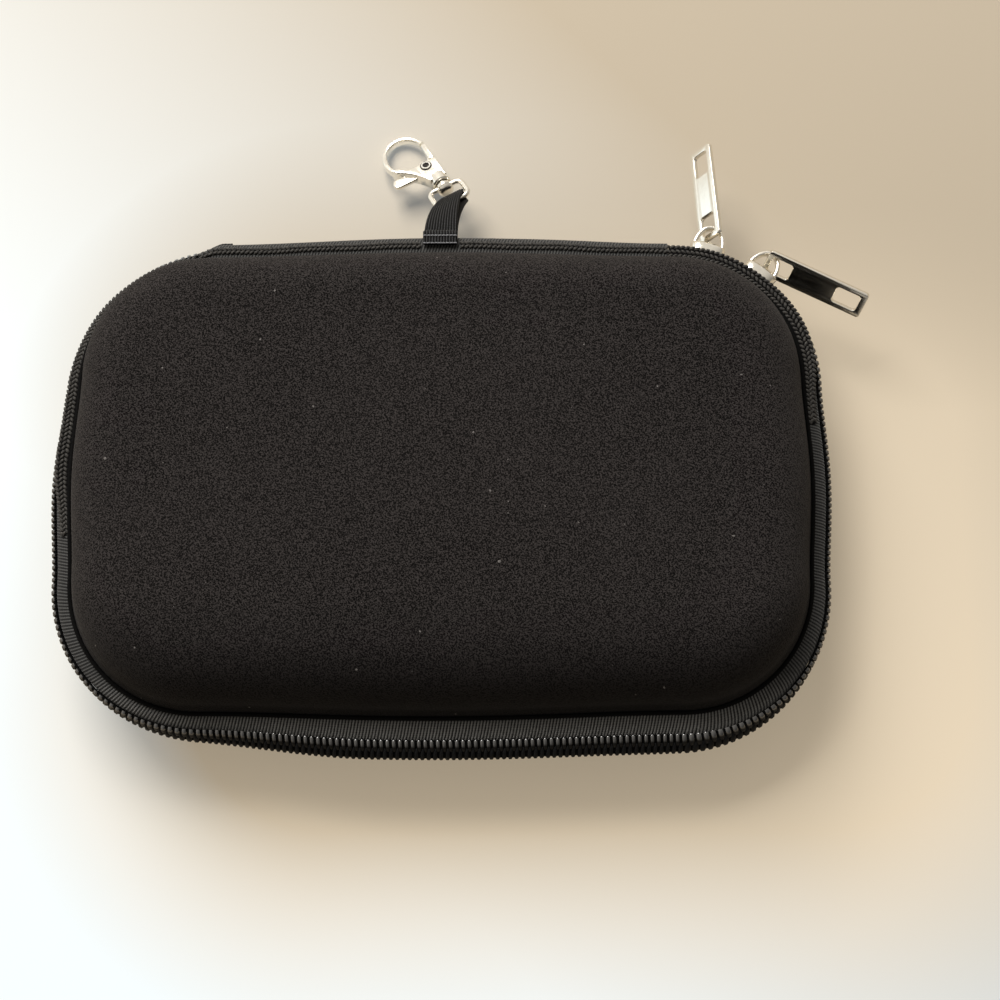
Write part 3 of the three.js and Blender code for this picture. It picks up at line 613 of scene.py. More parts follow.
def strip_taper(place):
    """How far the strip is drawn in: a little towards its two ends, and to the zip in a short step
    at its left end."""
    return (STRIP_DRAWN_IN * eased(place, (0, STRIP_END))
            + STRIP_TAPER * eased(-place, (STRIP_END - STRIP_TAPER_LENGTH, STRIP_END))
            + STRIP_STEP * eased(place, (STRIP_LEFT - STRIP_STEP_LENGTH, STRIP_LEFT)))


# The strip folds close to the lid's rim, above the webbing that is sewn to it.
strip_lines = np.repeat(strip_line[None], STRIP_STEPS, 0)
strip_lines[:, 2:4, 0] -= strip_taper(strip_run)[:, None]
strip = add_piece("hinge_strip_weave", [band(strip_run, strip_lines, TAPE_THICKNESS)], tape_weave)
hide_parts("hinge_strip")
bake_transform(strip)

# The right end lies flatter on the strip than the left one.
TAPE_END_LENGTH = 0.007
TAPE_END_FACE = STRIP_REACH + TAPE_THICKNESS / 2 + SEAM_OFFSET + 0.0004
TAPE_END_BULGE = 0.0001
TAPE_END_MIDDLE = 0.0018
RIGHT_END_DRAWN_IN = 0.00045
RIGHT_END_THICKNESS = 0.0004
end_line = np.array([(TAPE_END_FACE, -TAPE_EDGE), (TAPE_END_FACE + TAPE_END_BULGE, -TAPE_END_MIDDLE),
                     (TAPE_END_FACE, -TAPE_CHAIN_WIDTH)])
for part_name, end_start, drawn_in, thickness in (
    ("tape_end_left", STRIP_LEFT - TAPE_END_LENGTH, 0, TAPE_THICKNESS),
    ("tape_end_right", -STRIP_END, RIGHT_END_DRAWN_IN, RIGHT_END_THICKNESS),
):
    end_run = np.linspace(end_start, end_start + TAPE_END_LENGTH, 12)
    end_lines = end_line - (strip_taper(end_run) + drawn_in)[:, None, None] * (1, 0)
    tape_end = add_piece(f"{part_name}_weave", [band(end_run, end_lines, thickness)], tape_weave)
    fit(tape_end, part_name, "base")


# Edge stitching
# Thick thread whipped over the tape where it is sewn to the lid's rim, in rows of short slanted
# stitches: two rows along the strip and three along the zip next to it. Along the front and the
# lower part of the right side the plain ribbed tape shows instead. A cord is sewn in along the rim.
STITCH_PITCH = 0.00108
STITCH_LENGTH = 0.0014
STITCH_WIDTH = 0.00078
STITCH_SLANT = np.radians(38)
STITCH_HEIGHT = 0.0004
STITCH_UNEVEN = 0.0001
STITCH_UNEVEN_TURN = 12.9
STITCHED_EDGE = 0.0009
STITCHED_STRIP_EDGE = 0.0004
LOOP_HALF = 0.0052
STRIP_ROWS = ((0.52, -STITCH_SLANT), (0.68, STITCH_SLANT))
ZIP_ROWS = ((0.4, -STITCH_SLANT), (0.68, STITCH_SLANT), (0.96, -STITCH_SLANT))
STITCH_FADE = 0.022
STITCHED_LEFT = 0.138
STITCHED_RIGHT = PERIMETER - 0.112
STITCHED_RUNS = (
    (-STRIP_END, -LOOP_HALF, STRIP_ROWS),
    (LOOP_HALF, STRIP_LEFT, STRIP_ROWS),
    (ZIP_START, STITCHED_LEFT, ZIP_ROWS),
    (STITCHED_RIGHT, ZIP_END, ZIP_ROWS),
)
BRAID_RISE = 0.0003
BRAID_THICKNESS = 0.0004
BRAID_STEP = 0.0015
WELT_OFFSET = 0.0004
WELT_RISE = 0.0004
WELT_RADIUS = 0.0005


def stitches(place, offset, rise, slant):
    """Short fat threads that lie on the cloth, slantwise to the wall line: rings of six points
    whose size follows the root of 1 - t^4."""
    t = np.linspace(-0.97, 0.97, 5)[:, None]
    turn = np.arange(6) * np.pi / 3
    size = STITCH_WIDTH / 2 * (1 - t ** 4) ** 0.5
    along = STITCH_LENGTH / 2 * t * np.cos(slant) - size * np.cos(turn) * np.sin(slant)
    across = STITCH_LENGTH / 2 * t * np.sin(slant) + size * np.cos(turn) * np.cos(slant)
    shape = (len(place), 1, 1)
    return many(capped(beside_wall(place.reshape(shape) + along, offset.reshape(shape) + across,
                                   PARTING + rise.reshape(shape) + size * np.sin(turn))))


def sewn_thread(wire):
    """Dark twisted thread, worn a little lighter on top."""
    place = wire.place()
    fluff = place.noise(2400, 3.0, 0.6)
    return {
        "Base Color": fluff.ramp(0.35, 0.75).colour((0.006, 0.0055, 0.005), (0.085, 0.077, 0.066)),
        "Roughness": 0.75 - fluff * 0.3,
        "Normal": fluff.bump(0.00015, 0.8),
    }


def stitched_width(place):
    """How far from the wall the braid reaches: to the strip's edge along the strip, and past the
    teeth's feet along the zip, drawn in to half of that where it runs out."""
    corner_offset, _ = zip_place(place, TAPE_CHAIN_WIDTH, 0)
    run_out = np.minimum(np.abs(STITCHED_LEFT - place), np.abs(place - STITCHED_RIGHT))
    share = 0.5 + 0.5 * eased(run_out, (0, STITCH_FADE))
    along_zip = SEAM_OFFSET + (corner_offset + STITCHED_EDGE - SEAM_OFFSET) * share
    along_zip = along_zip * (0.6 + 0.4 * eased(place, (ZIP_START, ZIP_START + STITCH_FADE)))
    along_strip = STRIP_REACH - STITCHED_STRIP_EDGE - strip_taper(place)
    return np.where(place < STRIP_LEFT + SEAM_OFFSET / 2, along_strip, along_zip)


def braid_ribbon(start, end):
    """The flat ribbon under the stitches, between two places on the wall line."""
    place = np.linspace(start, end, int((end - start) / BRAID_STEP))
    rise = np.full_like(place, TAPE_FLANGE_RISE + BRAID_RISE)
    inner = np.stack([np.full_like(place, SEAM_OFFSET), rise], -1)
    outer = np.stack([stitched_width(place), rise], -1)
    return band(place, np.stack([inner, outer], 1), BRAID_THICKNESS)


def rim_cord():
    """The cord in the seam, a round section carried all the way round the lid's rim."""
    place = np.linspace(0, PERIMETER, 400, endpoint=False)[:, None]
    turn = full_turn(10)
    offset = WELT_OFFSET + WELT_RADIUS * np.cos(turn)
    rise = TAPE_FLANGE_RISE + WELT_RISE + WELT_RADIUS * (1 + np.sin(turn))
    return surface(beside_wall(place, offset, PARTING + rise), wrap_rows=True, wrap_columns=True)


thread = finish("edge_thread", {"Specular IOR Level": 0.35, "Sheen Weight": 0.1}, sewn_thread)
stitch_rows = []
for start, end, rows in STITCHED_RUNS:
    for share, slant in rows:
        place = np.arange(start, end, STITCH_PITCH)
        uneven = np.sin(np.arange(len(place)) * STITCH_UNEVEN_TURN) * STITCH_UNEVEN
        offset = SEAM_OFFSET + (stitched_width(place) - SEAM_OFFSET) * share + uneven
        rise = np.full_like(place, TAPE_FLANGE_RISE + STITCH_HEIGHT)
        stitch_rows.append(stitches(place + share * STITCH_PITCH + uneven, offset, rise, slant))
ribbons = [braid_ribbon(ZIP_START, STITCHED_LEFT), braid_ribbon(STITCHED_RIGHT, ZIP_END)]
welt = add_piece("rim_welt", ribbons + [rim_cord()], black_cord)
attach(welt, "lid")
edge_stitching = add_piece("edge_stitching", stitch_rows, thread, sharp=80)
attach(edge_stitching, "lid")


# Sliders
# Die-cast zinc, nickel plated: a shield with turned-in edges over the teeth, a small plate behind
# the tapes, a web between the two and an arched bridge that holds the pull.
SLIDER_ANGLES = {"a": np.radians(15), "b": np.radians(37)}
SLIDER_LENGTH = 0.0086
SLIDER_MOUTH = 0.0064
SLIDER_TAIL = 0.0058
SLIDER_DOME = 0.0003
SLIDER_LIP = 0.0008
PLATE_INNER = CORNER_RADIUS + ZIP_SIDE_REACH + 0.00255
PLATE_OUTER = PLATE_INNER + 0.0012
LIP_FOOT = CORNER_RADIUS + ZIP_SIDE_REACH + 0.0007
BACK_RADIUS = CORNER_RADIUS + ZIP_SIDE_REACH - 0.0015
BACK_PLATE = (0.001, 0.0048)
BACK_LENGTH = 0.0082
WEB = (0.0032, 0.00044)
BRIDGE_HEIGHT = 0.0051
BRIDGE_HALF_LENGTH = 0.0034
BRIDGE_STRIP = (0.0011, 0.0022)
CAST_OVERLAP = 0.0004
UP = (0, 0, 1)
corner_centre = np.array([LONG_SIDE / 2, SHORT_SIDE / 2, PARTING])


def oval(thickness, width, power=4.0, count=16):
    """A closed profile between an ellipse and a rectangle: |a|^power + |b|^power = 1."""
    turn = full_turn(count)
    a, b = np.cos(turn), np.sin(turn)
    return np.stack([thickness / 2 * np.sign(a) * np.abs(a) ** (2 / power),
                     width / 2 * np.sign(b) * np.abs(b) ** (2 / power)], -1)


def swept(path, side, profile, closed=False):
    """A profile carried along a path: its first value runs along the path's normal, its second
    along the side axis, which is square to the path."""
    run = np.roll(path, -1, 0) - np.roll(path, 1, 0) if closed else np.gradient(path, axis=0)
    side = np.broadcast_to(side, path.shape)
    normal = np.cross(side, run)
    normal = normal / np.linalg.norm(normal, axis=-1, keepdims=True)
    rows = path[:, None] + profile[:, :1] * normal[:, None] + profile[:, 1:] * side[:, None]
    return surface(rows if closed else capped(rows), wrap_rows=closed, wrap_columns=True)


def in_frame(part, origin, axes):
    """A surface of a frame of its own, put where the frame's origin and its three axes lie."""
    return np.asarray(origin) + part[0] @ np.asarray(axes), part[1], part[2]


def slider_axes(angle):
    """Outwards, along the zip and up, for a slider at an angle round its corner."""
    return [(np.sin(angle), np.cos(angle), 0), (-np.cos(angle), np.sin(angle), 0), (0, 0, 1)]


def slider_shield():
    """A plate with lips: its half width follows (1 - |v|^4.5)^0.4 along it, and the middle of its
    face stands up by a dome, (1 - v^2) (1 - u^2)."""
    v = 0.998 * np.sin(np.linspace(-np.pi / 2, np.pi / 2, 25))[:, None]
    half = (SLIDER_TAIL + (SLIDER_MOUTH - SLIDER_TAIL) * (v + 1) / 2) / 2 * (1 - np.abs(v) ** 4.5) ** 0.4
    lip = np.minimum(SLIDER_LIP, 0.35 * half)
    x = np.array([PLATE_OUTER, PLATE_OUTER, LIP_FOOT, LIP_FOOT, PLATE_INNER])
    x = np.broadcast_to(np.concatenate([x, x[::-1]]), (25, 10))
    z = np.concatenate([0 * half, half, half, half - lip, half - lip], 1)
    z = np.concatenate([z, -z[:, ::-1]], 1)
    loop = rounded(np.stack([x, z], -1), 2)
    face = np.clip((loop[..., 0] - PLATE_INNER) / (PLATE_OUTER - PLATE_INNER), 0, 1)
    radius = loop[..., 0] + SLIDER_DOME * face * (1 - v ** 2) * (1 - (loop[..., 1] / (half + 1e-6)) ** 2)
    turn = v * SLIDER_LENGTH / 2 / PLATE_OUTER
    return surface(points(radius * np.cos(turn), radius * np.sin(turn), loop[..., 1]))


def slider_parts():
    """Shield, back plate, web and bridge."""
    turn = np.linspace(-0.5, 0.5, 12) * BACK_LENGTH / BACK_RADIUS
    back = BACK_RADIUS * points(np.cos(turn), np.sin(turn), 0)
    web = points(np.linspace(BACK_RADIUS, PLATE_INNER + CAST_OVERLAP, 4), 0, 0)
    arch = np.linspace(0, np.pi, 28)
    bridge = points(PLATE_OUTER - CAST_OVERLAP + BRIDGE_HEIGHT * np.sin(arch),
                    BRIDGE_HALF_LENGTH * np.cos(arch), 0)
    return [
        slider_shield(),
        swept(back, UP, oval(*BACK_PLATE)),
        swept(web, UP, oval(*WEB)),
        swept(bridge, UP, oval(*BRIDGE_STRIP, power=3.0)),
    ]


def plated_metal(wire):
    """Bright plating with faint wear and a soft unevenness."""
    place = wire.place()
    wear = place.noise(500, 3.0, 0.6)
    return {
        "Base Color": wear.colour((0.8, 0.765, 0.68), (0.92, 0.89, 0.82)),
        "Roughness": 0.1 + wear * 0.16,
        "Normal": place.noise(900, 2.0).bump(0.00003, 0.4),
    }


nickel = finish("nickel_plating", {"Metallic": 1.0}, plated_metal)
for letter, angle in SLIDER_ANGLES.items():
    parts = [in_frame(part, corner_centre, slider_axes(angle)) for part in slider_parts()]
    slider = add_piece(f"slider_{letter}_casting", parts, nickel)
    fit(slider, f"slider_{letter}", f"slider_{letter}_body")


# Pulls
# Flat pulls stamped from nickel-plated sheet, with an eye that hangs in the bridge and a window at
# the free end.
PULL_BAR_RISE = 0.0026
PULL_LENGTH = 0.026
PULL_WIDTH = 0.007
PULL_THICKNESS = 0.0012
PULL_BEVEL = 0.00018
PULL_ARM = 0.0013
PULL_EYE = 0.0054
PULL_WINDOW = 0.0063
PULL_WINDOW_END = 0.0015
PULL_CORNER = 0.0008
PULL_TURNS = {"a": np.radians((-52, 10, 18)), "b": np.radians((55, 4, -78))}


def round_rectangle(x0, y0, x1, y1, radius, count=7):
    """Outline of a rectangle with quarter-circle corners."""
    turn = np.linspace(0, np.pi / 2, count)
    corners = [(x1 - radius, y1 - radius), (x0 + radius, y1 - radius),
               (x0 + radius, y0 + radius), (x1 - radius, y0 + radius)]
    return np.concatenate([np.stack([x + radius * np.cos(turn + k * np.pi / 2),
                                     y + radius * np.sin(turn + k * np.pi / 2)], -1)
                           for k, (x, y) in enumerate(corners)])


def plate(outlines, thickness, bevel):
    """A flat plate with round edges from closed outlines, of which the inner ones are holes."""
    curve = bpy.data.curves.new("outline", "CURVE")
    curve.dimensions = "2D"
    curve.fill_mode = "BOTH"
    curve.extrude = thickness / 2 - bevel
    curve.bevel_depth = bevel
    curve.bevel_resolution = 2
    curve.offset = -bevel
    for outline in outlines:
        spline = curve.splines.new("POLY")
        spline.points.add(len(outline) - 1)
        spline.points.foreach_set("co", np.pad(outline, ((0, 0), (0, 2))).ravel())
        spline.use_cyclic_u = True
    holder = bpy.data.objects.new("outline", curve)
    mesh = bpy.data.meshes.new_from_object(holder)
    mesh.calc_loop_triangles()
    places = np.zeros(3 * len(mesh.vertices))
    mesh.vertices.foreach_get("co", places)
    faces = np.zeros(3 * len(mesh.loop_triangles), int)
    mesh.loop_triangles.foreach_get("vertices", faces)
    bpy.data.objects.remove(holder)
    bpy.data.curves.remove(curve)
    bpy.data.meshes.remove(mesh)
    return places.reshape(-1, 3), faces.reshape(-1, 3), np.zeros((len(faces), 2))


pull_near = -PULL_ARM / 2
pull_far = pull_near + PULL_LENGTH
pull_inside = PULL_WIDTH / 2 - PULL_ARM
window_start = pull_far - PULL_WINDOW_END - PULL_WINDOW
pull_plate = plate([
    round_rectangle(pull_near, -PULL_WIDTH / 2, pull_far, PULL_WIDTH / 2, PULL_CORNER),
    round_rectangle(PULL_ARM / 2, -pull_inside, PULL_ARM / 2 + PULL_EYE, pull_inside, PULL_CORNER),
    round_rectangle(window_start, -pull_inside, window_start + PULL_WINDOW, pull_inside, PULL_CORNER),
], PULL_THICKNESS, PULL_BEVEL)
for letter, angle in SLIDER_ANGLES.items():
    carrier = np.array(slider_axes(angle))
    turned_axes = np.array(Euler(PULL_TURNS[letter], "XYZ").to_matrix()).T @ carrier
    bar = corner_centre + (PLATE_OUTER + PULL_BAR_RISE) * carrier[0]
    pull = add_piece(f"pull_{letter}_stamping", [in_frame(pull_plate, bar, turned_axes)], nickel, sharp=15)
    fit(pull, f"pull_tab_{letter}", f"pull_{letter}_body")


# Webbing loop
# Ribbed polypropylene webbing, folded round the ring and sewn to the hinge strip. One end runs on up
# the strip and is tucked in over its edge, held by two lines of light thread. The loop twists a
# little towards the ring.
WEBBING_WIDTH = 0.0082
WEBBING_FOLD_WIDTH = 0.0068
WEBBING_THICKNESS = 0.0009
WEBBING_RIBS = 12
WEBBING_RIB_HEIGHT = 0.00022
WEBBING_EDGE = 0.00004
WEBBING_SPREAD = 0.0011
WEBBING_FOLD_RADIUS = 0.00145
WEFT_PITCH = 0.00045
WEBBING_COLOURS = ((0.0015, 0.0015, 0.0016), (0.075, 0.075, 0.076))
WALL_BACK = SHELL_DEPTH / 2 + SIDE_BOW
TUCK_LINE = [(0.0072, 0.0001), (0.0072, 0.0034), (0.0068, 0.0045), (0.0058, 0.0047), (0.0035, 0.0047)]
CLASP_PLACE = np.array([-0.0006, WALL_BACK + STRIP_REACH + 0.0204, 0.0086])
CLASP_AXES = np.array(Euler((0, np.radians(21), np.radians(118)), "XYZ").to_matrix()).T
RING_FAR = -0.0066
WEBBING_SEAM = np.array([-0.0006, WALL_BACK + STRIP_REACH + 0.0007, PARTING - 0.001])
webbing_fold = CLASP_PLACE + RING_FAR * CLASP_AXES[0]


def webbing_line(t):
    """Middle line of the loop at shares t of its run, with its width axes, normals and widths: a
    curve with one bend from the seam to the ring, and axes that turn evenly between the two."""
    t = t[:, None]
    bend = WEBBING_SEAM + (0, (webbing_fold[1] - WEBBING_SEAM[1]) / 2, 0)
    middle = (1 - t) ** 2 * WEBBING_SEAM + 2 * t * (1 - t) * bend + t ** 2 * webbing_fold
    run = 2 * (1 - t) * (bend - WEBBING_SEAM) + 2 * t * (webbing_fold - bend)
    width_axis = (1 - t) * np.array([1.0, 0, 0]) - t * CLASP_AXES[1]
    width_axis /= np.linalg.norm(width_axis, axis=-1, keepdims=True)
    normal = np.cross(width_axis, run)
    normal /= np.linalg.norm(normal, axis=-1, keepdims=True)
    return middle, width_axis, normal, WEBBING_WIDTH + (WEBBING_FOLD_WIDTH - WEBBING_WIDTH) * t


def webbing_cloth():
    """The front layer, a half circle round the ring and the back layer as one ribbon."""
    t = np.linspace(0, 1, 26)
    middle, width_axis, normal, width = webbing_line(t)
    spread = WEBBING_SPREAD + (WEBBING_FOLD_RADIUS - WEBBING_SPREAD) * t[:, None]
    turn = np.linspace(0, np.pi, 14)[1:-1, None]
    forward = np.cross(normal[-1], width_axis[-1])
    round_normal = normal[-1] * np.cos(turn) + forward * np.sin(turn)
    repeat = np.ones_like(turn)
    centres = np.concatenate([middle + normal * spread, webbing_fold + WEBBING_FOLD_RADIUS * round_normal,
                              (middle - normal * spread)[::-1]])
    sides = np.concatenate([width_axis, repeat * width_axis[-1], width_axis[::-1]])
    outs = np.concatenate([normal, round_normal, -normal[::-1]])
    widths = np.concatenate([width, repeat * width[-1], width[::-1]])
    return ribbed_ribbon(centres, sides, outs, widths)


def webbing_tuck():
    """Centres, width axes, normals and widths of the end that runs up the strip and over its edge."""
    line = rounded(np.array(TUCK_LINE), 3)
    centres = points(WEBBING_SEAM[0], WALL_BACK + line[:, 0], PARTING + line[:, 1])
    sides = np.broadcast_to((1.0, 0, 0), centres.shape)
    outs = np.cross(np.gradient(centres, axis=0), sides)
    outs = outs / np.linalg.norm(outs, axis=-1, keepdims=True)
    return centres, sides, outs, np.full((len(line), 1), WEBBING_WIDTH)


def ribbed_ribbon(centres, sides, outs, widths):
    """A ribbon along its centres: both faces stand up in ribs along it, |sin|, and the edges are round."""
    u = np.linspace(-1, 1, 8 * WEBBING_RIBS + 1)
    half = WEBBING_THICKNESS / 2 * (1 - u ** 8) ** 0.5 + WEBBING_EDGE
    half = half - WEBBING_RIB_HEIGHT * (1 - np.abs(np.sin(np.pi * WEBBING_RIBS * (u + 1) / 2)))
    across = np.concatenate([u, u[::-1]])[:, None]
    lift = np.concatenate([half, -half[::-1]])[:, None]
    rows = centres[:, None] + across * widths[:, None] / 2 * sides[:, None] + lift * outs[:, None]
    lengths = np.linalg.norm(np.diff(centres, axis=0), axis=-1)
    along = np.concatenate([[0, 0], np.cumsum(lengths), [lengths.sum()]])
    return surface(capped(rows), wrap_columns=True, row_uv=along,
                   column_uv=np.append(np.concatenate([u, u[::-1]]), -1) * WEBBING_WIDTH / 2)


def ribbed_webbing(wire):
    """Lengthwise ribs, lighter on their crests, crossed by fine weft lines."""
    along, across = wire.along()
    fluff = wire.place().noise(1800, 3.0, 0.6)
    weft = (along + fluff * THREAD_WAVER).wave(WEFT_PITCH)
    crest = (across + WEBBING_WIDTH / 2).wave(WEBBING_WIDTH / WEBBING_RIBS)
    weave = crest * 0.55 + weft * 0.2 + fluff * 0.35
    return {
        "Base Color": weave.ramp(0.6, 1.0).colour(*WEBBING_COLOURS),
        "Roughness": 0.7 - weft * 0.15,
        "Normal": (weft * 0.5 + fluff * 0.5).bump(0.00015, 0.7),
    }


webbing_weave = finish("webbing_weave", {"Specular IOR Level": 0.2, "Sheen Weight": 0.02}, ribbed_webbing)
webbing = add_piece("webbing_ribbon", [webbing_cloth()], webbing_weave, sharp=70)
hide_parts("webbing_loop")
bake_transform(webbing)

tuck = add_piece("webbing_tuck", [ribbed_ribbon(*webbing_tuck())], webbing_weave, sharp=70)
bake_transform(tuck)

# The light thread through the tucked end.
SEAM_STITCH_LENGTH = 0.00075
SEAM_STITCH_HEIGHT = 0.00014
SEAM_THREAD = (0.00024, 0.0003)
SEAM_ROWS = (-3, -12)
SEAM_STITCHES = np.linspace(-0.44, 0.44, 9)


def seam_threads():
    """Two rows of short stitches across the tucked end: each is a low arch."""
    tubes = []
    arch = np.linspace(0, np.pi, 7)
    step = np.linspace(-0.5, 0.5, 7) * SEAM_STITCH_LENGTH
    centres, sides, outs, widths = webbing_tuck()
    for row in SEAM_ROWS:
        face = centres[row] + outs[row] * WEBBING_THICKNESS / 2
        for place in SEAM_STITCHES:
            start = face + sides[row] * widths[row] * place
            lift = np.outer(np.sin(arch), outs[row]) * SEAM_STITCH_HEIGHT
            path = start + np.outer(step, sides[row]) + lift
            tubes.append(swept(path, np.cross(outs[row], sides[row]), oval(*SEAM_THREAD, 2.0, 6)))
    return tubes


def light_thread(wire):
    """Grey thread with darker and lighter fibres."""
    return {"Base Color": wire.place().noise(2500).colour((0.12, 0.12, 0.13), (0.34, 0.34, 0.36))}


pale_thread = finish("pale_thread", {"Roughness": 0.6}, light_thread)
seam = add_piece("webbing_stitches", seam_threads(), pale_thread)
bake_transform(seam)


# Ring and swivel pin
# Round wire bent to a flat ring with a bored lug. A headed pin, fixed in the hook's collar, turns in
# the lug.
RING_NEAR = -0.001
RING_HALF_WIDTH = 0.0044
RING_WIRE = 0.0014
RING_CORNER = 0.0015
LUG_LOOP = np.array([(-0.001, 0.0013), (-0.0017, 0.0013), (-0.0017, 0.0018), (-0.001, 0.0019),
                     (-0.0003, 0.0018), (-0.0003, 0.0013), (-0.001, 0.0013)])
PIN_PROFILE = [(-0.003, 0), (-0.003, 0.0009), (-0.0029, 0.0015), (-0.0026, 0.0019), (-0.0022, 0.0021),
               (-0.002, 0.002), (-0.002, 0.001), (0.0021, 0.001), (0.0023, 0.0008), (0.0023, 0)]


def on_clasp(parts):
    """Surfaces of the clasp's own frame, put where the clasp lies."""
    return [in_frame(part, CLASP_PLACE, CLASP_AXES) for part in parts]


def turned_piece(profile, closed=False):
    """A profile of places and radii turned round the frame's first axis."""
    place, radius = np.asarray(profile).T[..., None]
    turn = full_turn(40)
    rows = points(place, radius * np.cos(turn), radius * np.sin(turn))
    return surface(rows, wrap_rows=closed, wrap_columns=True)


ring_line = round_rectangle(RING_FAR, -RING_HALF_WIDTH, RING_NEAR, RING_HALF_WIDTH, RING_CORNER, 8)
ring_path = points(ring_line[:, 0], ring_line[:, 1], 0)
bent_wire = swept(ring_path, UP, oval(RING_WIRE, RING_WIRE, 2.0, 12), closed=True)
lug = turned_piece(rounded(LUG_LOOP, 1)[:-1], closed=True)
ring = add_piece("ring_wire", on_clasp([bent_wire, lug]), nickel)
fit(ring, "d_ring", "ring_body")
pin = add_piece("swivel_pin_turning", on_clasp([turned_piece(PIN_PROFILE)]), nickel, sharp=50)
fit(pin, "swivel_pin", "hook")


# Hook
# Die-cast trigger hook: a collar on the pin, two cheeks, and a round hook with an open side. The
# sprung lever between the cheeks closes that side with its gate and is pressed by its thumb tab.
EYE_CENTRE = np.array([0.0135, 0.0038])
EYE_RADIUS = 0.0047
EYE_STRETCH = np.array([1.16, 1.0])
HOOK_BAND = 0.0015
HOOK_WIRE = 0.0022
HOOK_THICKNESS = 0.0036
HOOK_BEVEL = 0.0004
COLLAR_PROFILE = [(0, 0.0013), (0, 0.0021), (0.00025, 0.0024), (0.0026, 0.0024), (0.003, 0.0021), (0.003, 0)]
GATE_RIGHT = -0.00225
GATE_LEFT = -0.00075
GATE_OUTLINE = (0.0089, GATE_RIGHT, 0.01475, GATE_LEFT, 0.0005)
RIVET_PLACE = np.array([0.0065, 0.0012])
HUB_RADIUS = 0.0018
TRIGGER_THICKNESS = 0.0012
TRIGGER_BEVEL = 0.0002
TAB_OUTLINE = (0.0051, 0.0021, 0.0079, 0.0106, 0.0012)
TAB_BEVEL = 0.0003


def round_eye(start, end, radius, count):
    """Points on an oval about the eye, longer along the hook, between two angles in degrees."""
    turn = np.radians(np.linspace(start, end, count))
    return EYE_CENTRE + radius * EYE_STRETCH * np.stack([np.cos(turn), np.sin(turn)], -1)


def bent(start, control, end, count=14):
    """A curve from start to end that heads for the control point at both of them."""
    t = np.linspace(0, 1, count)[:, None]
    return (1 - t) ** 2 * np.array(start) + 2 * t * (1 - t) * np.array(control) + t ** 2 * np.array(end)


def hook_parts():
    """Collar, cheeks and the open hook."""
    outer = round_eye(132, 118, EYE_RADIUS + HOOK_BAND, 4)
    cheek = np.concatenate([
        [(0.0014, -0.0021), (0.0083, GATE_RIGHT), (0.0083, 0.0012)],
        round_eye(213, 128, EYE_RADIUS, 24),
        outer[::-1],
        bent(outer[0], (0.0064, 0.0046), (0.0014, 0.0024))[1:],
    ])
    hook_line = round_eye(150, -74, EYE_RADIUS + HOOK_BAND / 2, 64)
    hook_path = points(hook_line[:, 0], hook_line[:, 1], 0)
    return [
        turned_piece(COLLAR_PROFILE),
        plate([cheek], HOOK_THICKNESS, HOOK_BEVEL),
        swept(hook_path, UP, oval(HOOK_BAND, HOOK_WIRE, 3.0)),
    ]


def trigger_parts():
    """Gate, hub, heel and thumb tab of the lever."""
    turn = full_turn(40)
    hub = RIVET_PLACE + HUB_RADIUS * np.stack([np.cos(turn), np.sin(turn)], -1)
    heel = np.array([(0.0053, 0.0), (0.0065, GATE_RIGHT + 0.0003), (0.0104, GATE_RIGHT + 0.0003),
                     (0.0104, GATE_LEFT), (0.0077, 0.0012)])
    return [
        plate([round_rectangle(*GATE_OUTLINE)], HOOK_WIRE, HOOK_BEVEL),
        plate([hub], TRIGGER_THICKNESS, TRIGGER_BEVEL),
        plate([heel], TRIGGER_THICKNESS, TRIGGER_BEVEL),
        plate([round_rectangle(*TAB_OUTLINE)], TRIGGER_THICKNESS, TAB_BEVEL),
    ]


for part_name, parts, body in (
    ("hook_body", hook_parts(), "hook"),
    ("hook_trigger", trigger_parts(), "trigger"),
):
    casting = add_piece(f"{part_name}_casting", on_clasp(parts), nickel, sharp=15)
    fit(casting, part_name, body)


# Rivet and leaf spring
# A steel rivet with a hollow end holds the lever between the cheeks, and a bowed steel leaf behind
# the lever's hub springs it shut.
RIVET_PROFILE = [(-0.0022, 0), (-0.0022, 0.001), (-0.0019, 0.0013), (-0.00183, 0.0013), (-0.00183, 0.0009),
                 (0.00183, 0.0009), (0.00183, 0.0015), (0.0019, 0.0015), (0.0019, 0.00128), (0.00215, 0.0012),
                 (0.00215, 0.00085), (0.00192, 0.00075), (0.00192, 0.0001), (0.00192, 0)]
SHADOWED_ROWS = (6.5, 8.2, 10.3)
LEAF_PLACE = 0.0034
LEAF_BOW = 0.00088
LEAF_HALF_LENGTH = 0.0022
LEAF_SECTION = (0.00025, 0.0012)


def rivet_steel(wire):
    """Plain steel, with painted shade in the groove round the head and in the hollow in its middle."""
    row, _ = wire.along()
    groove, head, hollow = [((row - place) * 8).ramp(0.0, 1.0) for place in SHADOWED_ROWS]
    # Painted shade: darker in the groove and the hollow, lighter on the head between them.
    painted_recess_shade = groove - head + hollow
    return {
        "Base Color": painted_recess_shade.colour((0.7, 0.68, 0.63), (0.03, 0.028, 0.025)),
        "Roughness": 0.25 + painted_recess_shade.ramp(0.0, 1.0) * 0.4,
    }


steel = finish("rivet_steel", {"Metallic": 0.9}, rivet_steel)
rivet_middle = CLASP_PLACE + RIVET_PLACE @ CLASP_AXES[:2]
rivet_axes = CLASP_AXES[[2, 0, 1]]
rivet = add_piece("rivet_turning", [in_frame(turned_piece(RIVET_PROFILE), rivet_middle, rivet_axes)], steel)
fit(rivet, "trigger_rivet", "hook")

leaf_run = np.linspace(-1, 1, 15)
leaf_path = points(LEAF_PLACE + LEAF_BOW * np.cos(leaf_run * np.pi / 2) ** 2,
                   RIVET_PLACE[1] + LEAF_HALF_LENGTH * leaf_run, 0)
leaf = add_piece("spring_leaf", on_clasp([swept(leaf_path, UP, oval(*LEAF_SECTION))]), nickel)
fit(leaf, "trigger_spring", "hook")


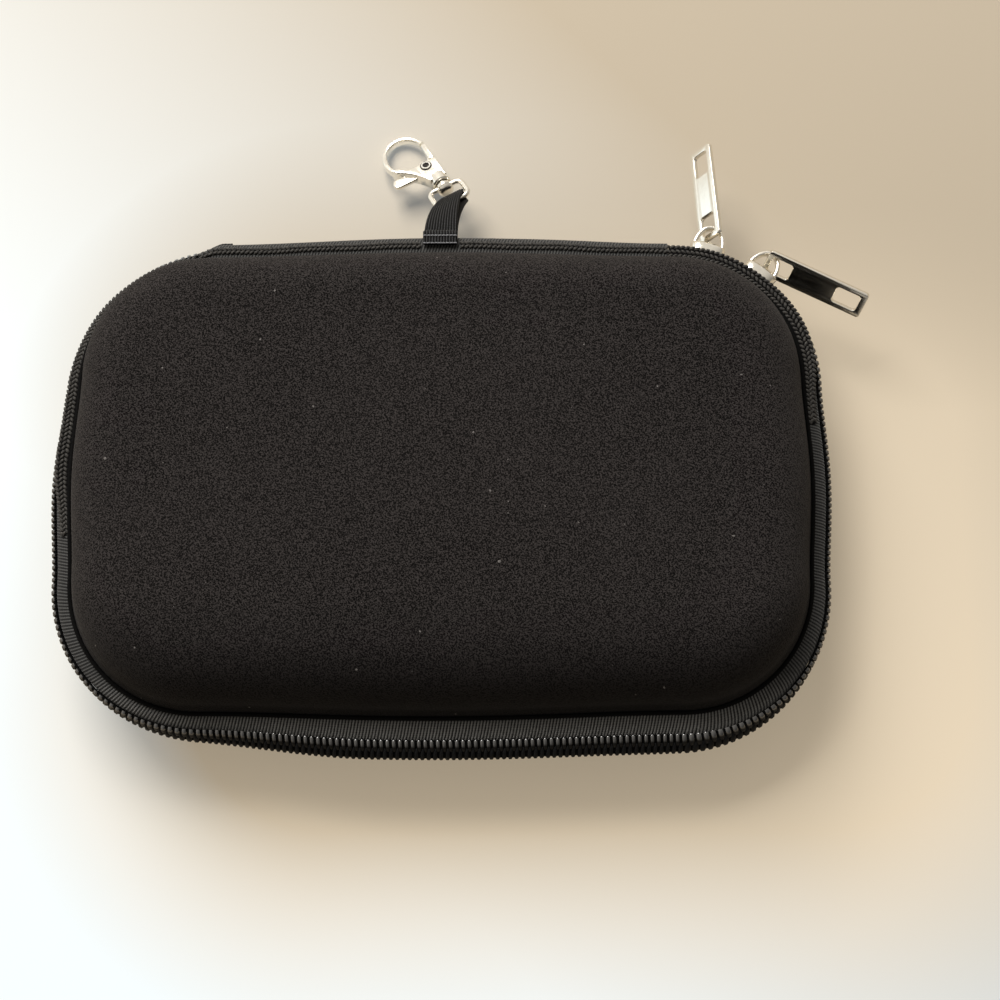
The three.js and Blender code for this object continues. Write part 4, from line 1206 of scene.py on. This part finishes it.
# Bindings
# Folded ribbon sewn over the raw inner edge of each rim, under the tape.
BINDING_LOOP = np.array([(-0.001, 0.0019), (-0.001, 0.0029), (-0.0046, 0.0029), (-0.0046, 0.0019),
                         (-0.001, 0.0009), (-0.001, 0.0019)])
binding_run = np.linspace(0, PERIMETER, 261)
loop = rounded(BINDING_LOOP, 2)[:-1]
for part_name, side, body in (("base_binding", -1, "base"), ("lid_binding", 1, "lid")):
    rows = beside_wall(binding_run[:-1, None], loop[:, 0], PARTING + side * loop[:, 1])
    folded = surface(rows, wrap_rows=True, wrap_columns=True, row_uv=binding_run, column_uv=loop_length(loop))
    binding = add_piece(f"{part_name}_ribbon", [folded], tape_weave)
    fit(binding, part_name, body)


# Inside of the lid and base
# A net pocket with an elastic hem in the lid, and an elastic strap sewn to the base's floor.
NET_INSET = 0.0052
NET_HALF_WIDTH = SHELL_WIDTH / 2 - NET_INSET
NET_HALF_DEPTH = SHELL_DEPTH / 2 - NET_INSET
NET_HEIGHT = PARTING + 0.0063
NET_EDGE = 0.02
NET_MARGIN = 0.0002
NET_SAG = 0.0008
NET_PITCH = 0.0026
HEM_WIDTH = 0.005
HEM_THICKNESS = 0.0013
HEM_GAP = 0.0003
STRAP_PLACE = 0.03
STRAP_WIDTH = 0.024
STRAP_THICKNESS = 0.001
STRAP_SPAN = 0.07
STRAP_RISE = 0.011
STRAP_FLOOR = 0.0047


def net_sheet():
    """A flat sheet with the outline of the lid's room, which sags by (1 - u^2)(1 - v^2)."""
    y = np.linspace(-NET_HALF_DEPTH + NET_MARGIN, NET_EDGE, 40)[:, None]
    corner = CORNER_RADIUS - NET_INSET
    over = np.clip(np.abs(y) - (NET_HALF_DEPTH - corner), 0, corner)
    half = NET_HALF_WIDTH - corner + np.sqrt(corner ** 2 - over ** 2)
    u = np.linspace(-1, 1, 60)
    sag = NET_SAG * (1 - u ** 2) * (1 - (y / NET_HALF_DEPTH) ** 2)
    return surface(points(u * half, y, NET_HEIGHT - sag))


def open_net(wire):
    """Crossing diagonal threads with holes between them."""
    place = wire.place()
    x, y = place.axis("X"), place.axis("Y")
    threads = wire.math("MAXIMUM", (x + y).wave(NET_PITCH), (x - y).wave(NET_PITCH))
    return {
        "Base Color": threads.colour((0.012, 0.012, 0.013), (0.04, 0.04, 0.042)),
        "Alpha": threads.ramp(0.78, 0.86),
    }


net_cloth = finish("net_cloth", {"Roughness": 0.7}, open_net)
net = add_piece("pocket_net", [net_sheet()], net_cloth)
fit(net, "lid_net", "lid")

hem_run = np.linspace(-NET_HALF_WIDTH, NET_HALF_WIDTH, 120)
hem_path = points(hem_run, NET_EDGE + HEM_GAP + HEM_WIDTH / 2, NET_HEIGHT)
hem = add_piece("pocket_hem", [swept(hem_path, (0, 1, 0), oval(HEM_THICKNESS, HEM_WIDTH))], lining_cloth)
fit(hem, "net_hem", "lid")

strap_run = np.linspace(-0.5, 0.5, 60)
strap_path = points(STRAP_PLACE, strap_run * STRAP_SPAN,
                    STRAP_FLOOR + STRAP_RISE * np.cos(strap_run * np.pi) ** 2)
strap_section = oval(STRAP_THICKNESS, STRAP_WIDTH, 8.0, 40)
strap = add_piece("elastic_strap", [swept(strap_path, (1, 0, 0), strap_section)], lining_cloth)
fit(strap, "base_strap", "base")


# Floor and backdrop
# A pale table top under the case; it isn't part of the object.
FLOOR_HALF = 1.5
FLOOR_DROP = 0.0002
FLOOR_COLOURS = ((0.59, 0.505, 0.385), (0.61, 0.525, 0.405))
GLOW_LEVEL = 0.42
GLOW_SLOPE = 2.6
GLOW_LIMIT = 0.66
MIRRORED_GLOW = 2.6
GLOW_COLOUR = (0.62, 0.85, 1.05)
SHADOW_LIFT_COLOUR = (0.33, 0.275, 0.2)
SHADOW_CENTRE = (0.032, -0.012)
SHADOW_HALF = (0.058, 0.03)
SHADOW_START = 0.036
SHADOW_END = 0.085


def table_top(wire):
    """Cream paint with a very faint cloud in it. What the camera and mirrors see of it also has a painted
    pale glow, which grows to the left and the front and fades out beside the case. Close to the case and in
    front of it, where the case's shadow falls, a warm painted glow takes the pale glow's place and lightens
    that shadow."""
    place = wire.place()
    cloud = place.noise(3.0, 3.0)
    x, y = place.axis("X"), place.axis("Y")
    over_x, over_y = [wire.math("MAXIMUM", wire.math("ABSOLUTE", value - middle) - half, 0.0)
                      for value, middle, half in zip((x, y), SHADOW_CENTRE, SHADOW_HALF)]
    away = wire.math("SQRT", over_x * over_x + over_y * over_y)
    clear = ((away - SHADOW_START) / (SHADOW_END - SHADOW_START)).ramp(0.0, 1.0)
    glow = wire.math("MAXIMUM", GLOW_LEVEL - x * GLOW_SLOPE - y * GLOW_SLOPE, 0.0)
    glow = wire.math("MINIMUM", glow, GLOW_LIMIT) * clear
    camera, mirror, glass = [wire.node("ShaderNodeLightPath", output=f"Is {kind} Ray")
                             for kind in ("Camera", "Glossy", "Transmission")]
    in_front = (1.44 - y * 18).ramp(0.0, 1.0) * (0.72 - y * 3.6).ramp(0.0, 1.0)
    behind = ((y - 0.04) * 12).ramp(0.0, 1.0)
    pale = (glow * (camera + mirror * behind * MIRRORED_GLOW + glass)).colour((0, 0, 0), GLOW_COLOUR)
    # Painted light: a warm glow that lightens the case's shadow on the table.
    shadow_lift = ((1 - clear) * in_front * (camera + glass)).colour((0, 0, 0), SHADOW_LIFT_COLOUR)
    return {
        "Base Color": cloud.colour(*FLOOR_COLOURS),
        "Emission Color": wire.node("ShaderNodeVectorMath", {"operation": "ADD"}, {0: pale, 1: shadow_lift}),
    }


floor_paint = finish("floor_paint", {
    "Roughness": 0.75,
    "Specular IOR Level": 0.15,
    "Emission Strength": 1.0,
}, table_top)
sides = np.array([-FLOOR_HALF, FLOOR_HALF])
floor = add_piece("table_top", [surface(points(sides[:, None], sides, -FLOOR_DROP))], floor_paint)
if floor.data.polygons[0].normal.z < 0:
    floor.data.flip_normals()


# Light and camera
# A large soft window behind and to the left of the case, a room that is brighter above, and a camera
# in front of the case that looks down on it.
WINDOW_PLACE = Vector((-0.36, 0.7, 0.95))
WINDOW_SIZE = 0.7
WINDOW_POWER = 16
WINDOW_COLOUR = (1.0, 0.98, 0.95)
ROOM_COLOUR = (1.0, 0.94, 0.85, 1)
BACKDROP_LEVEL = 0.85
lamp = bpy.data.lights.new("window", "AREA")
lamp.size = WINDOW_SIZE
lamp.energy = WINDOW_POWER
lamp.color = WINDOW_COLOUR
window = bpy.data.objects.new("window", lamp)
window.location = WINDOW_PLACE
window.rotation_euler = (-WINDOW_PLACE).to_track_quat("-Z", "Y").to_euler()
bpy.context.scene.collection.objects.link(window)


def room_light(wire):
    """Light that comes mostly from above: weak at the horizon and weaker in front. Mirrors see a
    pale wall instead, bright behind and to the left and dark in front and to the right, and the
    camera sees an even pale one."""
    way = wire.node("ShaderNodeTexCoord", output="Generated")
    right, back, up = (way.axis(letter) for letter in "XYZ")
    sky = (wire.math("MAXIMUM", up, 0.0) * 0.45 + 0.02) * (0.7 + back * 0.5)
    wall = wire.math("MINIMUM", 0.62 + back * 0.3 - right * 0.3, 1.0)
    mirror = wire.node("ShaderNodeLightPath", output="Is Glossy Ray")
    camera = wire.node("ShaderNodeLightPath", output="Is Camera Ray")
    return sky + (wall - sky) * mirror + (BACKDROP_LEVEL - sky) * camera


world = bpy.data.worlds.new("room")
world.use_nodes = True
background = world.node_tree.nodes["Background"].inputs
background["Color"].default_value = ROOM_COLOUR
world.node_tree.links.new(room_light(Wire(world.node_tree)).socket, background["Strength"])
bpy.context.scene.world = world
bpy.context.scene.view_settings.view_transform = "Standard"

CAMERA_PLACE = (0.0132, -0.1256, 0.4718)
CAMERA_TILT = np.radians(15.15)
CAMERA_TURN = np.radians(-0.17)
camera = bpy.data.cameras.new("camera")
camera.lens = 72
camera.sensor_width = 36
viewer = bpy.data.objects.new("camera", camera)
viewer.location = CAMERA_PLACE
viewer.rotation_euler = (CAMERA_TILT, 0, CAMERA_TURN)
bpy.context.scene.collection.objects.link(viewer)
bpy.context.scene.camera = viewer
